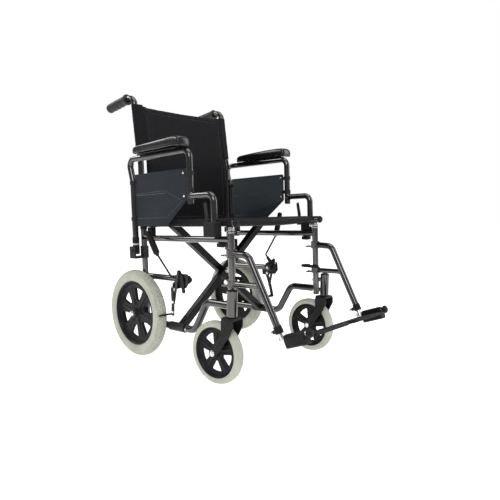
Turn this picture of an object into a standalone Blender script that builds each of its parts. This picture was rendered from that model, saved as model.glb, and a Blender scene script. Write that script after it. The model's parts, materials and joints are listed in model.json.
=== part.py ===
"""Folding transit wheelchair: two steel side frames joined by a cross brace, sling seat and back.

Metres, +Z up, front towards -Y, occupant's right towards -X, origin on the floor under the middle.
The chassis is modelled in its own axes, level with its seat rails, and stands nose up by RAKE.
"""
import math

import bmesh
import bpy
from mathutils import Matrix, Vector

# ---- driving dimensions -------------------------------------------------------------------------
GAP = 0.0003              # between pieces that touch
RUN = 0.0006              # round a piece that turns in another
SIDES = 10                # sides of a round tube

RAKE = math.radians(3.05)
CENTRE_SHIFT = 0.26264    # rear axle behind the middle of the whole chair

HALF_WIDTH = 0.2185       # side frame planes, tube centre to middle
POST_Y = -0.4565          # front post, ahead of the rear post
TUBE_R = 0.011
RAIL_R = TUBE_R - 0.0003           # rails are a little slimmer than the posts they meet
LOWER_R = 0.0125
LOWER_Z = 0.121
UPPER_Z = 0.4285
STUB_Z = 0.290
STUB_END = -0.245
REAR_POST_TOP = 0.470
FRONT_POST_FOOT = 0.204
FRONT_POST_TOP = 0.4625
DROP_LOW_Y = -0.272       # where the lower rail starts to climb
DROP_HIGH_Y = -0.338      # and where it levels again
DROP_HIGH_Z = 0.2235
SEAT_Z = 0.4796           # seat rail centre
SEAT_FRONT = -0.4765
SEAT_BACK = -0.030

CANE_TOP = 0.947
CANE_LEAN_Z = 0.700
CANE_LEAN_Y = 0.027
GRIP_START = 0.068
GRIP_END = 0.193
GRIP_R = TUBE_R + 0.0060
GRIP_CLOSE = 0.008        # thickness of the grip's closed end

AXLE_Y = 0.005
AXLE_Z = 0.157
WHEEL_X = HALF_WIDTH + 0.0375
WHEEL_R = 0.1575
TYRE_W = 0.048
WHEEL_RIM_R = 0.1160
WHEEL_SEGMENTS = 32
WHEEL_SPOKES = 6
AXLE_R = 0.006

CASTER_X = HALF_WIDTH + 0.0245
CASTER_Y = -0.4756
HOUSING_LOW = 0.196
HOUSING_TOP = 0.275
HOUSING_R = 0.0165
STEM_R = 0.0065
CASTER_R = 0.100
CASTER_W = 0.032
CASTER_RIM_R = 0.0830
CASTER_TRAIL = 0.060
CASTER_SEGMENTS = 24
CASTER_SPOKES = 5
CASTER_AXLE_R = 0.005
CASTER_TURN = math.radians(4.0)   # how far the right caster has swivelled; the left one hasn't

ARM_X = HALF_WIDTH + 2 * TUBE_R + 0.0060
ARM_Z = 0.7155
ARM_BACK_Y = 0.012
ARM_BACK_LEAN_Y = 0.034
ARM_FRONT_Y = -0.307
ARM_LEG_END = 0.545
ARM_STEP_Z = 0.569
ARM_STEP_Y = -0.415
ARM_HINGE_Z = 0.385
ARM_SLEEVE_R = TUBE_R + 0.0015
ARM_SLEEVE_TOP = 0.434
PAD_X = ARM_X + 0.0130
PAD_WIDTH = 0.053
PAD_FRONT = -0.300
PAD_BACK = -0.036
PAD_TOP = 0.765
PANEL_T = 0.005
PANEL_TOP = 0.659
PANEL_LOW = 0.473
PANEL_STEP_Z = 0.557
PANEL_STEP_Y = -0.176
SOCKET_TOP = 0.484
SOCKET_LOW = 0.437
SOCKET_FLOOR = 0.450

BRACE_A_Y = -0.197
BAR = 0.025
BRACE_B_Y = BRACE_A_Y + BAR + 0.003
SLEEVE_R = LOWER_R + 0.0030
SLEEVE_BACK = BRACE_B_Y + BAR / 2 + 0.0145
SLEEVE_FRONT = BRACE_A_Y - BAR / 2 - 0.0135

LEVER_PIVOT = (-0.230, 0.296)
ARM_PIVOT = (-0.188, 0.269)
LINK_LOW = (-0.190, 0.212)
LINK_HIGH = (-0.2177, 0.3143)
SHOE = (-0.1572, 0.166)
GRIP_LOW = (-0.138, 0.3775)      # brake lever's hand grip, locked
GRIP_HIGH = (-0.087, 0.4565)
LEVER_TRAVEL = math.radians(48.0)   # lever from locked to free, top going forwards
ARM_TRAVEL = math.radians(-17.5)    # shoe arm over the same stroke, foot going forwards
LINK_TRAVEL = math.radians(0.33)     # link over the same stroke, measured against the frame
BRAKE_LAYER = 0.0035                # thickness of each brake plate
BRAKE_X = HALF_WIDTH + 0.0112                    # inner face of the bracket plate

HANGER_TOP_Z = 0.386
HANGER_LOW_Z = 0.292
HANGER_BEND_Y = -0.527
HANGER_FOOT = (-0.638, 0.162)
HANGER_FOOT_X = HALF_WIDTH - 0.0060
COLLAR_R = TUBE_R + 0.0055
BARREL_X = HALF_WIDTH - 0.0090
BARREL_BACK = (-0.636, 0.1415)
BARREL_TILT = math.radians(18.5)
BARREL_LENGTH = 0.106
BARREL_R = 0.007
BLOCK_START = 0.026       # hinge block along the barrel
BLOCK_END = 0.098
BLOCK_HALF = 0.0145
BLOCK_DROP = 0.028
PLATE_T = 0.010
PLATE_DROP = 0.012        # underside of the tread below the barrel's axis
PLATE_INNER = 0.018       # inner edge from the middle of the chair
PLATE_BACK = 0.010
PLATE_FRONT = 0.116
KNOB_R = 0.013

# ---- helpers ------------------------------------------------------------------------------------
AXES_X = Matrix(((0, 0, 1), (1, 0, 0), (0, 1, 0))).to_4x4()   # outline x, y, depth to Y, Z, X
pivot_at = {}


def start_scene():
    for obj in list(bpy.data.objects):
        bpy.data.objects.remove(obj, do_unlink=True)
    parts = bpy.data.collections.new("wheelchair")
    bpy.context.scene.collection.children.link(parts)
    return parts


PARTS = start_scene()


def material(name, colour, roughness, metallic=0.0):
    mat = bpy.data.materials.get(name)
    if mat is None:
        mat = bpy.data.materials.new(name)
        mat.use_nodes = True
        shader = mat.node_tree.nodes["Principled BSDF"]
        shader.inputs["Base Color"].default_value = (*colour, 1.0)
        shader.inputs["Roughness"].default_value = roughness
        shader.inputs["Metallic"].default_value = metallic
    return mat


FINISHES = {
    "frame_steel": ((0.16, 0.15, 0.15), 0.28, 0.9),
    "black_steel": ((0.02, 0.02, 0.022), 0.38, 0.3),
    "bright_steel": ((0.62, 0.63, 0.65), 0.22, 1.0),
    "black_plastic": ((0.018, 0.018, 0.02), 0.42, 0.0),
    "panel_plastic": ((0.035, 0.04, 0.05), 0.6, 0.0),
    "grip_rubber": ((0.02, 0.02, 0.02), 0.6, 0.0),
    "pad_vinyl": ((0.012, 0.012, 0.013), 0.3, 0.0),
    "sling_nylon": ((0.02, 0.02, 0.025), 0.85, 0.0),
    "grey_rubber": ((0.36, 0.37, 0.31), 0.75, 0.0),
}


def pivot(name, at, parent=None):
    """An empty on a joint's axis, given in the same axes as its parent."""
    name = f"{name}_axis"
    empty = bpy.data.objects.new(name, None)
    PARTS.objects.link(empty)
    pivot_at[name] = Vector(at)
    if parent is not None:
        empty.parent = parent
        empty.location = Vector(at) - pivot_at[parent.name]
    return empty


def linked(name, data):
    obj = bpy.data.objects.new(name, data)
    PARTS.objects.link(obj)
    return obj


def baked(obj):
    """The object's evaluated shape as a plain, welded mesh in place of it."""
    bpy.context.view_layer.update()
    graph = bpy.context.evaluated_depsgraph_get()
    mesh = bpy.data.meshes.new_from_object(obj.evaluated_get(graph))
    mesh.transform(obj.matrix_world)
    bm = bmesh.new()
    bm.from_mesh(mesh)
    bmesh.ops.remove_doubles(bm, verts=bm.verts, dist=1e-6)
    bmesh.ops.recalc_face_normals(bm, faces=bm.faces)
    bm.to_mesh(mesh)
    bm.free()
    name = obj.name
    bpy.data.objects.remove(obj, do_unlink=True)
    return linked(name, mesh)


def combined(base, others, operation="UNION"):
    """The base with the others joined to it, or cut from it."""
    for other in others:
        step = base.modifiers.new(operation.lower(), "BOOLEAN")
        step.object = other
        step.operation = operation
        step.solver = "EXACT"
    result = baked(base)
    for other in others:
        bpy.data.objects.remove(other, do_unlink=True)
    return result


def joined(*shapes):
    return combined(shapes[0], shapes[1:], "UNION")


def cut(base, *cutters):
    return combined(base, cutters, "DIFFERENCE")


def rounded_route(points, bend, steps=4):
    """A route with each corner replaced by an arc of the given radius."""
    route = [Vector(points[0])]
    for before, corner, after in zip(points, points[1:], points[2:]):
        corner = Vector(corner)
        towards_before = (Vector(before) - corner).normalized()
        towards_after = (Vector(after) - corner).normalized()
        half = towards_before.angle(towards_after) / 2
        reach = bend / math.tan(half)
        centre = corner + (towards_before + towards_after).normalized() * bend / math.sin(half)
        first = corner + towards_before * reach - centre
        last = corner + towards_after * reach - centre
        turn = first.angle(last)
        for i in range(steps + 1):
            share = i / steps
            route.append(centre + (first * math.sin((1 - share) * turn)
                                   + last * math.sin(share * turn)) / math.sin(turn))
    route.append(Vector(points[-1]))
    return route


def rod(points, radius, sides=SIDES):
    """A solid round rod along a route."""
    curve = bpy.data.curves.new("rod", "CURVE")
    curve.dimensions = "3D"
    curve.bevel_depth = radius
    curve.bevel_resolution = sides // 2 - 2
    curve.use_fill_caps = True
    spline = curve.splines.new("POLY")
    spline.points.add(len(points) - 1)
    for spot, point in zip(spline.points, points):
        spot.co = (*point, 1.0)
    return baked(linked("rod", curve))


def circle(centre, radius, segments=24, clockwise=False):
    """Points round a circle in an outline's own plane."""
    sign = -1 if clockwise else 1
    turns = [sign * 2 * math.pi * i / segments for i in range(segments)]
    return [(centre[0] + radius * math.cos(t), centre[1] + radius * math.sin(t)) for t in turns]


def flat(outlines, low, high, frame=AXES_X):
    """A flat shape with holes, from low to high along its depth."""
    curve = bpy.data.curves.new("flat", "CURVE")
    curve.dimensions = "2D"
    curve.fill_mode = "BOTH"
    curve.extrude = (high - low) / 2
    for outline in outlines:
        spline = curve.splines.new("POLY")
        spline.points.add(len(outline) - 1)
        spline.use_cyclic_u = True
        for spot, point in zip(spline.points, outline):
            spot.co = (point[0], point[1], 0.0, 1.0)
    obj = linked("flat", curve)
    obj.matrix_world = frame @ Matrix.Translation((0, 0, (low + high) / 2))
    return baked(obj)


def between(a, b, side):
    """The two depths in rising order on one side of the chair."""
    return sorted((a * side, b * side))


def turned(profile, at, axis, segments=24, closed=False):
    """A shape of revolution: profile points are (radius, height along the axis), outer side down."""
    mesh = bpy.data.meshes.new("turned")
    count = len(profile)
    edges = [(i, i + 1) for i in range(count - 1)] + ([(count - 1, 0)] if closed else [])
    mesh.from_pydata([(radius, 0, height) for radius, height in profile], edges, [])
    obj = linked("turned", mesh)
    screw = obj.modifiers.new("turn", "SCREW")
    screw.axis = "Z"
    screw.steps = segments
    screw.render_steps = segments
    screw.use_merge_vertices = True
    screw.merge_threshold = 1e-5
    obj.matrix_world = Matrix.Translation(at) @ Vector(axis).to_track_quat("Z", "Y").to_matrix().to_4x4()
    return baked(obj)


def cylinder(start, end, radius, segments=24):
    start, end = Vector(start), Vector(end)
    length = (end - start).length
    profile = [(0, length), (radius, length), (radius, 0), (0, 0)]
    return turned(profile, start, end - start, segments)


def block(low, high, bevel=0.0, frame=None):
    """A box between two corners, with its edges eased where a bevel is given."""
    low = [min(a, b) for a, b in zip(low, high)], [max(a, b) for a, b in zip(low, high)]
    low, high = Vector(low[0]), Vector(low[1])
    mesh = bpy.data.meshes.new("block")
    bm = bmesh.new()
    bmesh.ops.create_cube(bm, size=1.0)
    bmesh.ops.scale(bm, verts=bm.verts, vec=high - low)
    bmesh.ops.translate(bm, verts=bm.verts, vec=(low + high) / 2)
    bm.to_mesh(mesh)
    bm.free()
    obj = linked("block", mesh)
    if bevel:
        ease = obj.modifiers.new("ease", "BEVEL")
        ease.width = bevel
        ease.segments = 2
        ease.limit_method = "ANGLE"
    if frame is not None:
        obj.matrix_world = frame
    return baked(obj)


def place(obj, name, finish, on, sharp=35):
    """Names a finished piece, gives it its finish and hangs it on its pivot."""
    obj.name = name
    obj.data.name = name
    obj.data.transform(Matrix.Translation(-pivot_at[on.name]))
    obj.data.materials.clear()
    obj.data.materials.append(material(finish, *FINISHES[finish]))
    obj.data.shade_smooth()
    obj.data.set_sharp_from_angle(angle=math.radians(sharp))
    obj.parent = on
    return obj


def turned_about(point, centre, angle):
    """A (y, z) point turned about another, positive taking the top forwards."""
    y, z = point[0] - centre[0], point[1] - centre[1]
    return (centre[0] + y * math.cos(angle) - z * math.sin(angle),
            centre[1] + y * math.sin(angle) + z * math.cos(angle))


# ---- side frame ---------------------------------------------------------------------------------
LEVEL = Matrix.Translation((0, CENTRE_SHIFT, WHEEL_R)) @ Matrix.Rotation(-RAKE, 4, "X")
PLUMB = Vector((0, -math.sin(RAKE), math.cos(RAKE)))   # the floor's vertical in chassis axes


def to_floor(point):
    """A chassis point in the chair's own axes on the floor."""
    return LEVEL @ (Vector(point) - Vector((0, AXLE_Y, AXLE_Z)))


def side_frame(side, tag, on):
    x = side * HALF_WIDTH
    rear_post = rod([(x, 0, LOWER_Z), (x, 0, REAR_POST_TOP)], TUBE_R)
    front_post = rod([(x, POST_Y, FRONT_POST_FOOT), (x, POST_Y, FRONT_POST_TOP)], TUBE_R)
    upper = rod([(x, 0, UPPER_Z), (x, POST_Y, UPPER_Z)], RAIL_R)
    corners = [(x, 0.016, LOWER_Z), (x, DROP_LOW_Y, LOWER_Z), (x, DROP_HIGH_Y, DROP_HIGH_Z),
               (x, POST_Y, DROP_HIGH_Z)]
    lower = rod(rounded_route(corners, 0.040), LOWER_R)
    stub = rod([(x, 0, STUB_Z), (x, STUB_END, STUB_Z)], RAIL_R)
    plug = cylinder((x, STUB_END - 0.012, STUB_Z), (x, STUB_END + 0.002, STUB_Z), 0.0108, SIDES)
    foot = Vector((side * CASTER_X, CASTER_Y, HOUSING_LOW))
    rise = HOUSING_TOP - HOUSING_LOW
    housing = cylinder(foot, foot + PLUMB * rise, HOUSING_R, 16)
    spacers = []
    for height in (0.218, 0.256):
        inner = (x, POST_Y, height)
        outer = foot + PLUMB * (height - HOUSING_LOW)
        spacers.append(rod([inner, outer], 0.0078))
    saddles = []
    for back, floor in ((POST_Y - 0.005, FRONT_POST_TOP), (-0.062, UPPER_Z)):
        saddles.append(block((x - 0.008, back, floor - 0.004),
                             (x + 0.008, back + 0.026, SEAT_Z - TUBE_R - GAP)))
    frame = joined(lower, rear_post, front_post, upper, stub, plug, housing, *spacers, *saddles)
    bore = cylinder(foot - PLUMB * 0.01, foot + PLUMB * (rise - 0.012), STEM_R + RUN + GAP, 16)
    place(cut(frame, bore), f"side_frame_{tag}", "frame_steel", on)


def back_cane(side, tag, on):
    x = side * HALF_WIDTH
    corners = [(x, 0, REAR_POST_TOP + GAP), (x, 0, CANE_LEAN_Z), (x, CANE_LEAN_Y, CANE_TOP),
               (x, GRIP_END, CANE_TOP - 0.0195)]
    start, rest = rounded_route(corners[:3], 0.12, 3)[:-1], rounded_route(corners[1:], 0.032, 5)[1:]
    along = (Vector(corners[3]) - Vector(corners[2])).normalized()
    rest[-1] = rest[-1] - along * (GRIP_CLOSE + GAP)
    place(rod(start + rest, TUBE_R), f"back_cane_{tag}", "frame_steel", on)
    mouth = Vector(corners[2]) + along * ((GRIP_START - CANE_LEAN_Y) / along.y)
    length = (GRIP_END - GRIP_START) / along.y
    waves = 3
    outer = [(GRIP_R + 0.002, length - 0.004), (GRIP_R, length - 0.010)]
    for i in range(2 * waves + 1):
        swell = 0.0008 if i % 2 else -0.0006
        outer.append((GRIP_R + swell, length - 0.014 - (length - 0.030) * i / (2 * waves)))
    outer += [(GRIP_R + 0.003, 0.010), (GRIP_R + 0.003, 0)]
    bore = TUBE_R + 2 * GAP
    grip = [(0, length), (GRIP_R - 0.003, length), *outer, (bore, 0), (bore, length - GRIP_CLOSE),
            (0, length - GRIP_CLOSE)]
    return grip, mouth, along, length


def push_grip(tag, on, made):
    grip, mouth, along, length = made
    place(turned(grip, mouth, along, 20), f"push_grip_{tag}", "grip_rubber", on)


# ---- wheels -------------------------------------------------------------------------------------
def wheel(side, centre, sizes, spokes, segments):
    """Tyre and spoked rim of a wheel whose axis lies along X, standing on a tread point."""
    radius, width, rim_r, bore, hub_r, hub_half = sizes
    out = Vector((side, 0, 0))
    half = width / 2
    tube = (radius - rim_r) / 2 + 0.004
    outer = [(radius - tube + tube * math.cos(math.radians(a)), half * math.sin(math.radians(a)))
             for a in (90, 58, 28, 0, -28, -58, -90)]
    seat = rim_r - 0.006
    tyre_profile = outer + [(rim_r, -half * 0.62), (seat, -half * 0.40), (seat, half * 0.40),
                            (rim_r, half * 0.62)]
    tyre = turned(tyre_profile, centre, out, segments, closed=True)
    edge, lip = seat - GAP - 0.0004, rim_r - GAP - 0.0008
    rim_profile = [(lip, half * 0.62 + 0.004), (lip, half * 0.62 + 0.0006), (edge, half * 0.40),
                   (edge, -half * 0.40), (lip, -half * 0.62 - 0.0006), (lip, -half * 0.62 - 0.004),
                   (rim_r - 0.020, -half * 0.5), (rim_r - 0.020, half * 0.5)]
    channel = turned(rim_profile, centre, out, segments, closed=True)
    windows = []
    step = 2 * math.pi / spokes
    inner_r, outer_r = hub_r + 0.009, rim_r - 0.024
    for i in range(spokes):
        middle = step * (i + 0.5) + math.pi / 2
        wide, slim = 0.30 * step, 0.16 * step
        window = [(outer_r, middle - wide), (outer_r, middle - wide / 3), (outer_r, middle + wide / 3),
                  (outer_r, middle + wide), (inner_r, middle + slim), (inner_r, middle - slim)]
        windows.append([(centre[1] + r * math.cos(a), centre[2] + r * math.sin(a)) for r, a in window])
    disc_edge = circle(centre[1:], rim_r - 0.015, segments)
    disc = flat([disc_edge, *windows], centre[0] - half * 0.22, centre[0] + half * 0.22)
    hub = turned([(0, hub_half), (hub_r * 0.8, hub_half), (hub_r, hub_half * 0.7),
                  (hub_r, -hub_half * 0.7), (hub_r * 0.8, -hub_half), (0, -hub_half)],
                 centre, out, 20)
    solid = joined(disc, channel, hub)
    drill = cylinder(Vector(centre) - out * 0.06, Vector(centre) + out * 0.06, bore, 16)
    return tyre, cut(solid, drill)


def rear_wheel(side, tag, ground):
    centre = to_floor((side * WHEEL_X, AXLE_Y, AXLE_Z))
    spin = pivot(f"rear_wheel_{tag}", centre, ground)
    sizes = (WHEEL_R, TYRE_W, WHEEL_RIM_R, AXLE_R + 2 * RUN, 0.019, 0.020)
    tyre, rim = wheel(side, tuple(centre), sizes, WHEEL_SPOKES, WHEEL_SEGMENTS)
    place(tyre, f"rear_tyre_{tag}", "grey_rubber", spin, 50)
    place(rim, f"rear_rim_{tag}", "black_plastic", spin)


def rear_axle(side, tag, on):
    start = HALF_WIDTH + TUBE_R + GAP
    hub_in, hub_out = WHEEL_X - 0.020, WHEEL_X + 0.020
    collar = hub_in - RUN - start
    tail = hub_out + RUN - start
    profile = [(0, tail + 0.010), (0.006, tail + 0.010), (0.010, tail + 0.006), (0.0115, tail),
               (AXLE_R, tail), (AXLE_R, collar), (0.010, collar), (0.010, 0), (0, 0)]
    axle = turned(profile, (side * start, AXLE_Y, AXLE_Z), (side, 0, 0), 16)
    place(axle, f"rear_axle_{tag}", "bright_steel", on)


def caster(side, tag, ground):
    """Fork, wheel and axle, upright on the floor under the slanted frame."""
    foot = to_floor((side * CASTER_X, CASTER_Y, HOUSING_LOW))
    swivel = pivot(f"caster_{tag}", foot, ground)
    wheel_at = Vector((foot.x, foot.y + CASTER_TRAIL, CASTER_R))
    crown = foot.z - 0.0015
    leg_in, leg_out = CASTER_W / 2 + 0.0045, CASTER_W / 2 + 0.0090
    wide = CASTER_TRAIL + 0.014
    legs = []
    top_y = foot.y
    outline = [(top_y - 0.022, crown), (top_y + 0.024, crown), (top_y + 0.030, crown - 0.020),
               (top_y + wide, CASTER_R + 0.004), (top_y + wide - 0.002, CASTER_R - 0.010),
               (top_y + wide - 0.014, CASTER_R - 0.016), (top_y + wide - 0.027, CASTER_R - 0.012),
               (top_y - 0.018, crown - 0.030)]
    for face in (-1, 1):
        low, high = sorted((foot.x + face * leg_in, foot.x + face * leg_out))
        hole = circle((wheel_at.y, wheel_at.z), CASTER_AXLE_R + 2 * GAP, 12)
        legs.append(flat([outline, hole], low, high))
    bridge = block((foot.x - leg_out, top_y - 0.022, crown - 0.006),
                   (foot.x + leg_out, top_y + 0.024, crown))
    stem_top = HOUSING_TOP - HOUSING_LOW - 0.016
    stem = cylinder((foot.x, foot.y, crown - 0.003), (foot.x, foot.y, foot.z + stem_top), STEM_R, 12)
    fork = joined(bridge, *legs, stem)
    sizes = (CASTER_R, CASTER_W, CASTER_RIM_R, CASTER_AXLE_R + 2 * RUN, 0.015, leg_in - 2 * RUN)
    tyre, rim = wheel(side, tuple(wheel_at), sizes, CASTER_SPOKES, CASTER_SEGMENTS)
    grip, head = leg_out + GAP, leg_out + 0.0045
    profile = [(0, head), (0.006, head), (0.008, grip), (CASTER_AXLE_R, grip), (CASTER_AXLE_R, -grip),
               (0.008, -grip), (0.006, -head), (0, -head)]
    axle = turned(profile, wheel_at, (side, 0, 0), 12)
    spin = pivot(f"caster_wheel_{tag}", wheel_at, swivel)
    place(fork, f"caster_fork_{tag}", "black_steel", swivel)
    place(axle, f"caster_axle_{tag}", "bright_steel", swivel)
    place(tyre, f"caster_tyre_{tag}", "grey_rubber", spin, 50)
    place(rim, f"caster_rim_{tag}", "black_plastic", spin)
    if side < 0:
        swivel.rotation_euler.z = CASTER_TURN


# ---- armrest ------------------------------------------------------------------------------------
def armrest(side, tag, chassis):
    x = side * ARM_X
    swing = pivot(f"armrest_{tag}", (x, ARM_BACK_Y, ARM_HINGE_Z), chassis)
    corners = [(x, ARM_BACK_Y, ARM_HINGE_Z), (x, ARM_BACK_Y, ARM_Z - 0.080),
               (x, ARM_BACK_LEAN_Y, ARM_Z), (x, ARM_FRONT_Y, ARM_Z), (x, ARM_FRONT_Y, ARM_LEG_END)]
    neck = rounded_route(corners[:3], 0.05, 2)[:-1]
    loop = rod(neck + rounded_route(corners[1:], 0.026, 4)[1:], TUBE_R)
    step_corners = [(x, ARM_FRONT_Y, ARM_STEP_Z), (x, ARM_STEP_Y, ARM_STEP_Z),
                    (x, ARM_STEP_Y, SOCKET_FLOOR + 0.004)]
    step = rod(rounded_route(step_corners, 0.024, 4), RAIL_R)
    foot = ARM_HINGE_Z - 0.014
    sleeve = cylinder((x, ARM_BACK_Y, foot), (x, ARM_BACK_Y, ARM_SLEEVE_TOP), ARM_SLEEVE_R, SIDES)
    pin_hole = cylinder((x - 0.03, ARM_BACK_Y, ARM_HINGE_Z), (x + 0.03, ARM_BACK_Y, ARM_HINGE_Z),
                        0.004 + RUN, SIDES)
    frame = cut(joined(loop, step, sleeve), pin_hole)
    place(frame, f"armrest_frame_{tag}", "frame_steel", swing)

    low, high = between(PAD_X - PAD_WIDTH / 2, PAD_X + PAD_WIDTH / 2, side)
    pad = block((low, PAD_FRONT, ARM_Z + TUBE_R + GAP), (high, PAD_BACK, PAD_TOP), 0.008)
    place(pad, f"armrest_pad_{tag}", "pad_vinyl", swing)

    front = ARM_FRONT_Y + TUBE_R + 0.008
    rear = ARM_BACK_Y - TUBE_R - 2 * GAP
    outline = [(rear, PANEL_LOW), (rear, PANEL_TOP), (front, PANEL_TOP), (front, PANEL_STEP_Z),
               (PANEL_STEP_Y, PANEL_LOW)]
    panel = flat([outline], *between(ARM_X - PANEL_T / 2, ARM_X + PANEL_T / 2, side))
    place(panel, f"side_panel_{tag}", "panel_plastic", swing)


def armrest_hinge(side, tag, on):
    """Clamp on the rear post that carries the armrest's hinge pin."""
    low, high = ARM_HINGE_Z - 0.029, ARM_HINGE_Z + 0.015
    x = side * HALF_WIDTH
    clamp = cylinder((x, 0, low), (x, 0, high), 0.0150, 16)
    cheek_in, cheek_out = ARM_X + ARM_SLEEVE_R + 2 * RUN, ARM_X + ARM_SLEEVE_R + 0.0055
    floor = block((x, -0.010, low), (side * cheek_out, ARM_BACK_Y + 0.016, low + 0.0075))
    cheek = block((side * cheek_in, -0.006, low), (side * cheek_out, ARM_BACK_Y + 0.016, high))
    pin_in = ARM_X - ARM_SLEEVE_R
    pin = cylinder((side * pin_in, ARM_BACK_Y, ARM_HINGE_Z),
                   (side * (cheek_out + 0.003), ARM_BACK_Y, ARM_HINGE_Z), 0.004, SIDES)
    post = cylinder((x, 0, low - 0.01), (x, 0, high + 0.01), TUBE_R + GAP, 24)
    hinge = cut(joined(clamp, floor, cheek, pin), post)
    place(hinge, f"armrest_hinge_{tag}", "black_steel", on)


def armrest_socket(side, tag, on):
    """Slotted pocket on the upper rail for the armrest's front leg."""
    face, outer = HALF_WIDTH + RAIL_R + GAP, ARM_X + RAIL_R + 0.0068
    front, back = ARM_STEP_Y - RAIL_R - 0.0053, ARM_STEP_Y + 0.035
    room = RAIL_R + 0.0013
    body = block((side * (face + 0.0025), front, SOCKET_LOW), (side * outer, back, SOCKET_TOP), 0.002)
    clamp = block((side * face, front + 0.004, SOCKET_LOW + 0.003),
                  (side * (outer - 0.006), back - 0.004, UPPER_Z + 0.018))
    ear = block((side * (face + 0.0027), back - 0.003, SOCKET_TOP - 0.024),
                (side * (face + 0.0060), back + 0.018, SOCKET_TOP - 0.001))
    pin = cylinder((side * (face + 0.004), back + 0.009, SOCKET_TOP - 0.012),
                   (side * (face + 0.0125), back + 0.009, SOCKET_TOP - 0.012), 0.0025, 10)
    slot = block((side * (ARM_X - room), ARM_STEP_Y - room - 0.0005, SOCKET_FLOOR),
                 (side * (ARM_X + room), ARM_STEP_Y + 0.0190, SOCKET_TOP + 0.01))
    socket = cut(joined(body, clamp, ear, pin), slot)
    place(socket, f"armrest_socket_{tag}", "black_plastic", on)


def armrest_latch(side, tag, chassis):
    face = HALF_WIDTH + RAIL_R + GAP
    y, z = ARM_STEP_Y + 0.044, SOCKET_TOP - 0.012
    swing = pivot(f"armrest_latch_{tag}", (side * (face + 0.008), y, z), chassis)
    outline = [(y - 0.0055, z - 0.006), (y + 0.0055, z - 0.006), (y + 0.007, z + 0.030),
               (y + 0.013, z + 0.070), (y + 0.003, z + 0.074), (y - 0.005, z + 0.030)]
    hole = circle((y, z), 0.0025 + 2 * GAP, 12)
    lever = flat([outline, hole], *between(face + 0.0064, face + 0.0104, side))
    place(lever, f"armrest_latch_{tag}", "black_plastic", swing)


# ---- cross brace and seat -----------------------------------------------------------------------
def bar_frame(side):
    """Axes along a brace bar from the lower rail on one side to the seat rail on the other."""
    start = Vector((side * HALF_WIDTH, 0, LOWER_Z))
    along = (Vector((-side * HALF_WIDTH, 0, SEAT_Z)) - start)
    length = along.length
    along.normalize()
    across = Vector((0, 1, 0)).cross(along)
    frame = Matrix((along, (0, 1, 0), -across)).transposed().to_4x4()
    return Matrix.Translation(start) @ frame, length


def cross_brace(side, tag, y, on):
    frame, length = bar_frame(side)
    bar = block((0, y - BAR / 2, -BAR / 2), (length, y + BAR / 2, BAR / 2), 0.002, frame)
    x = side * HALF_WIDTH
    middle = (SLEEVE_BACK + SLEEVE_FRONT) / 2
    sleeve = cylinder((x, SLEEVE_FRONT, LOWER_Z), (x, SLEEVE_BACK, LOWER_Z), SLEEVE_R, 20)
    brace = joined(sleeve, bar)
    rail = cylinder((x, middle - 0.1, LOWER_Z), (x, middle + 0.1, LOWER_Z), LOWER_R + RUN, 20)
    top = cylinder((-x, middle - 0.1, SEAT_Z), (-x, middle + 0.1, SEAT_Z), TUBE_R + GAP, 20)
    trim = block((-x - 0.04, middle - 0.1, SEAT_Z - 0.004), (-x + 0.04, middle + 0.1, SEAT_Z + 0.04))
    centre_z = (LOWER_Z + SEAT_Z) / 2
    hole = cylinder((0, middle - 0.1, centre_z), (0, middle + 0.1, centre_z), 0.005 + RUN, 16)
    bored = cut(cut(brace, rail), hole)
    place(cut(bored, joined(top, trim)), f"cross_brace_{tag}", "black_steel", on)


def brace_bolt(on):
    centre_z = (LOWER_Z + SEAT_Z) / 2
    front, back = BRACE_A_Y - BAR / 2 - GAP, BRACE_B_Y + BAR / 2 + GAP
    long = back - front
    profile = [(0, long + 0.007), (0.007, long + 0.007), (0.0085, long), (0.005, long), (0.005, 0),
               (0.0085, 0), (0.007, -0.006), (0, -0.006)]
    bolt = turned(profile, (0, front, centre_z), (0, 1, 0), 12)
    place(bolt, "brace_pivot_bolt", "bright_steel", on)


def seat_rail(side, tag, on):
    x = side * HALF_WIDTH
    rail = rod([(x, SEAT_BACK, SEAT_Z), (x, SEAT_FRONT, SEAT_Z)], TUBE_R)
    place(rail, f"seat_rail_{tag}", "frame_steel", on)
    cap = cylinder((x, SEAT_FRONT - 0.010, SEAT_Z), (x, SEAT_FRONT - GAP, SEAT_Z), 0.0128, 16)
    place(cap, f"rail_end_cap_{tag}", "black_plastic", on)


def sling_section(half, drop, thick, steps=8):
    """A sagging strip's cross-section, from side to side and back."""
    def dip(t):
        return -drop * (1 - (2 * t - 1) ** 2)
    upper = [(half * (2 * i / steps - 1), dip(i / steps) + thick) for i in range(steps + 1)]
    lower = [(half * (2 * i / steps - 1), dip(i / steps)) for i in range(steps + 1)]
    return lower + upper[::-1]


def seat_upholstery(on):
    half = HALF_WIDTH - TUBE_R - 0.002
    section = sling_section(half, 0.012, 0.018)
    frame = Matrix(((1, 0, 0, 0), (0, 0, -1, 0), (0, 1, 0, SEAT_Z - 0.0020), (0, 0, 0, 1)))
    seat = flat([section], -(SEAT_BACK + 0.001), -(SEAT_FRONT + 0.004), frame)
    place(seat, "seat_upholstery", "sling_nylon", on)


def backrest_upholstery(on):
    half = HALF_WIDTH - TUBE_R - 0.002
    section = [(x, -z) for x, z in sling_section(half, 0.014, 0.012)][::-1]
    lean = math.atan2(CANE_LEAN_Y, CANE_TOP - CANE_LEAN_Z)
    low, fold, high = 0.484, CANE_LEAN_Z, CANE_TOP - 0.029
    straight = Matrix.Translation((0, -0.004, 0))
    lower = flat([section], low, fold + 0.004, straight)
    tilt = Matrix.Translation((0, -0.004, fold)) @ Matrix.Rotation(-lean, 4, "X")
    upper = flat([section], -0.004, high - fold, tilt)
    place(joined(lower, upper), "backrest_upholstery", "sling_nylon", on)


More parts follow.
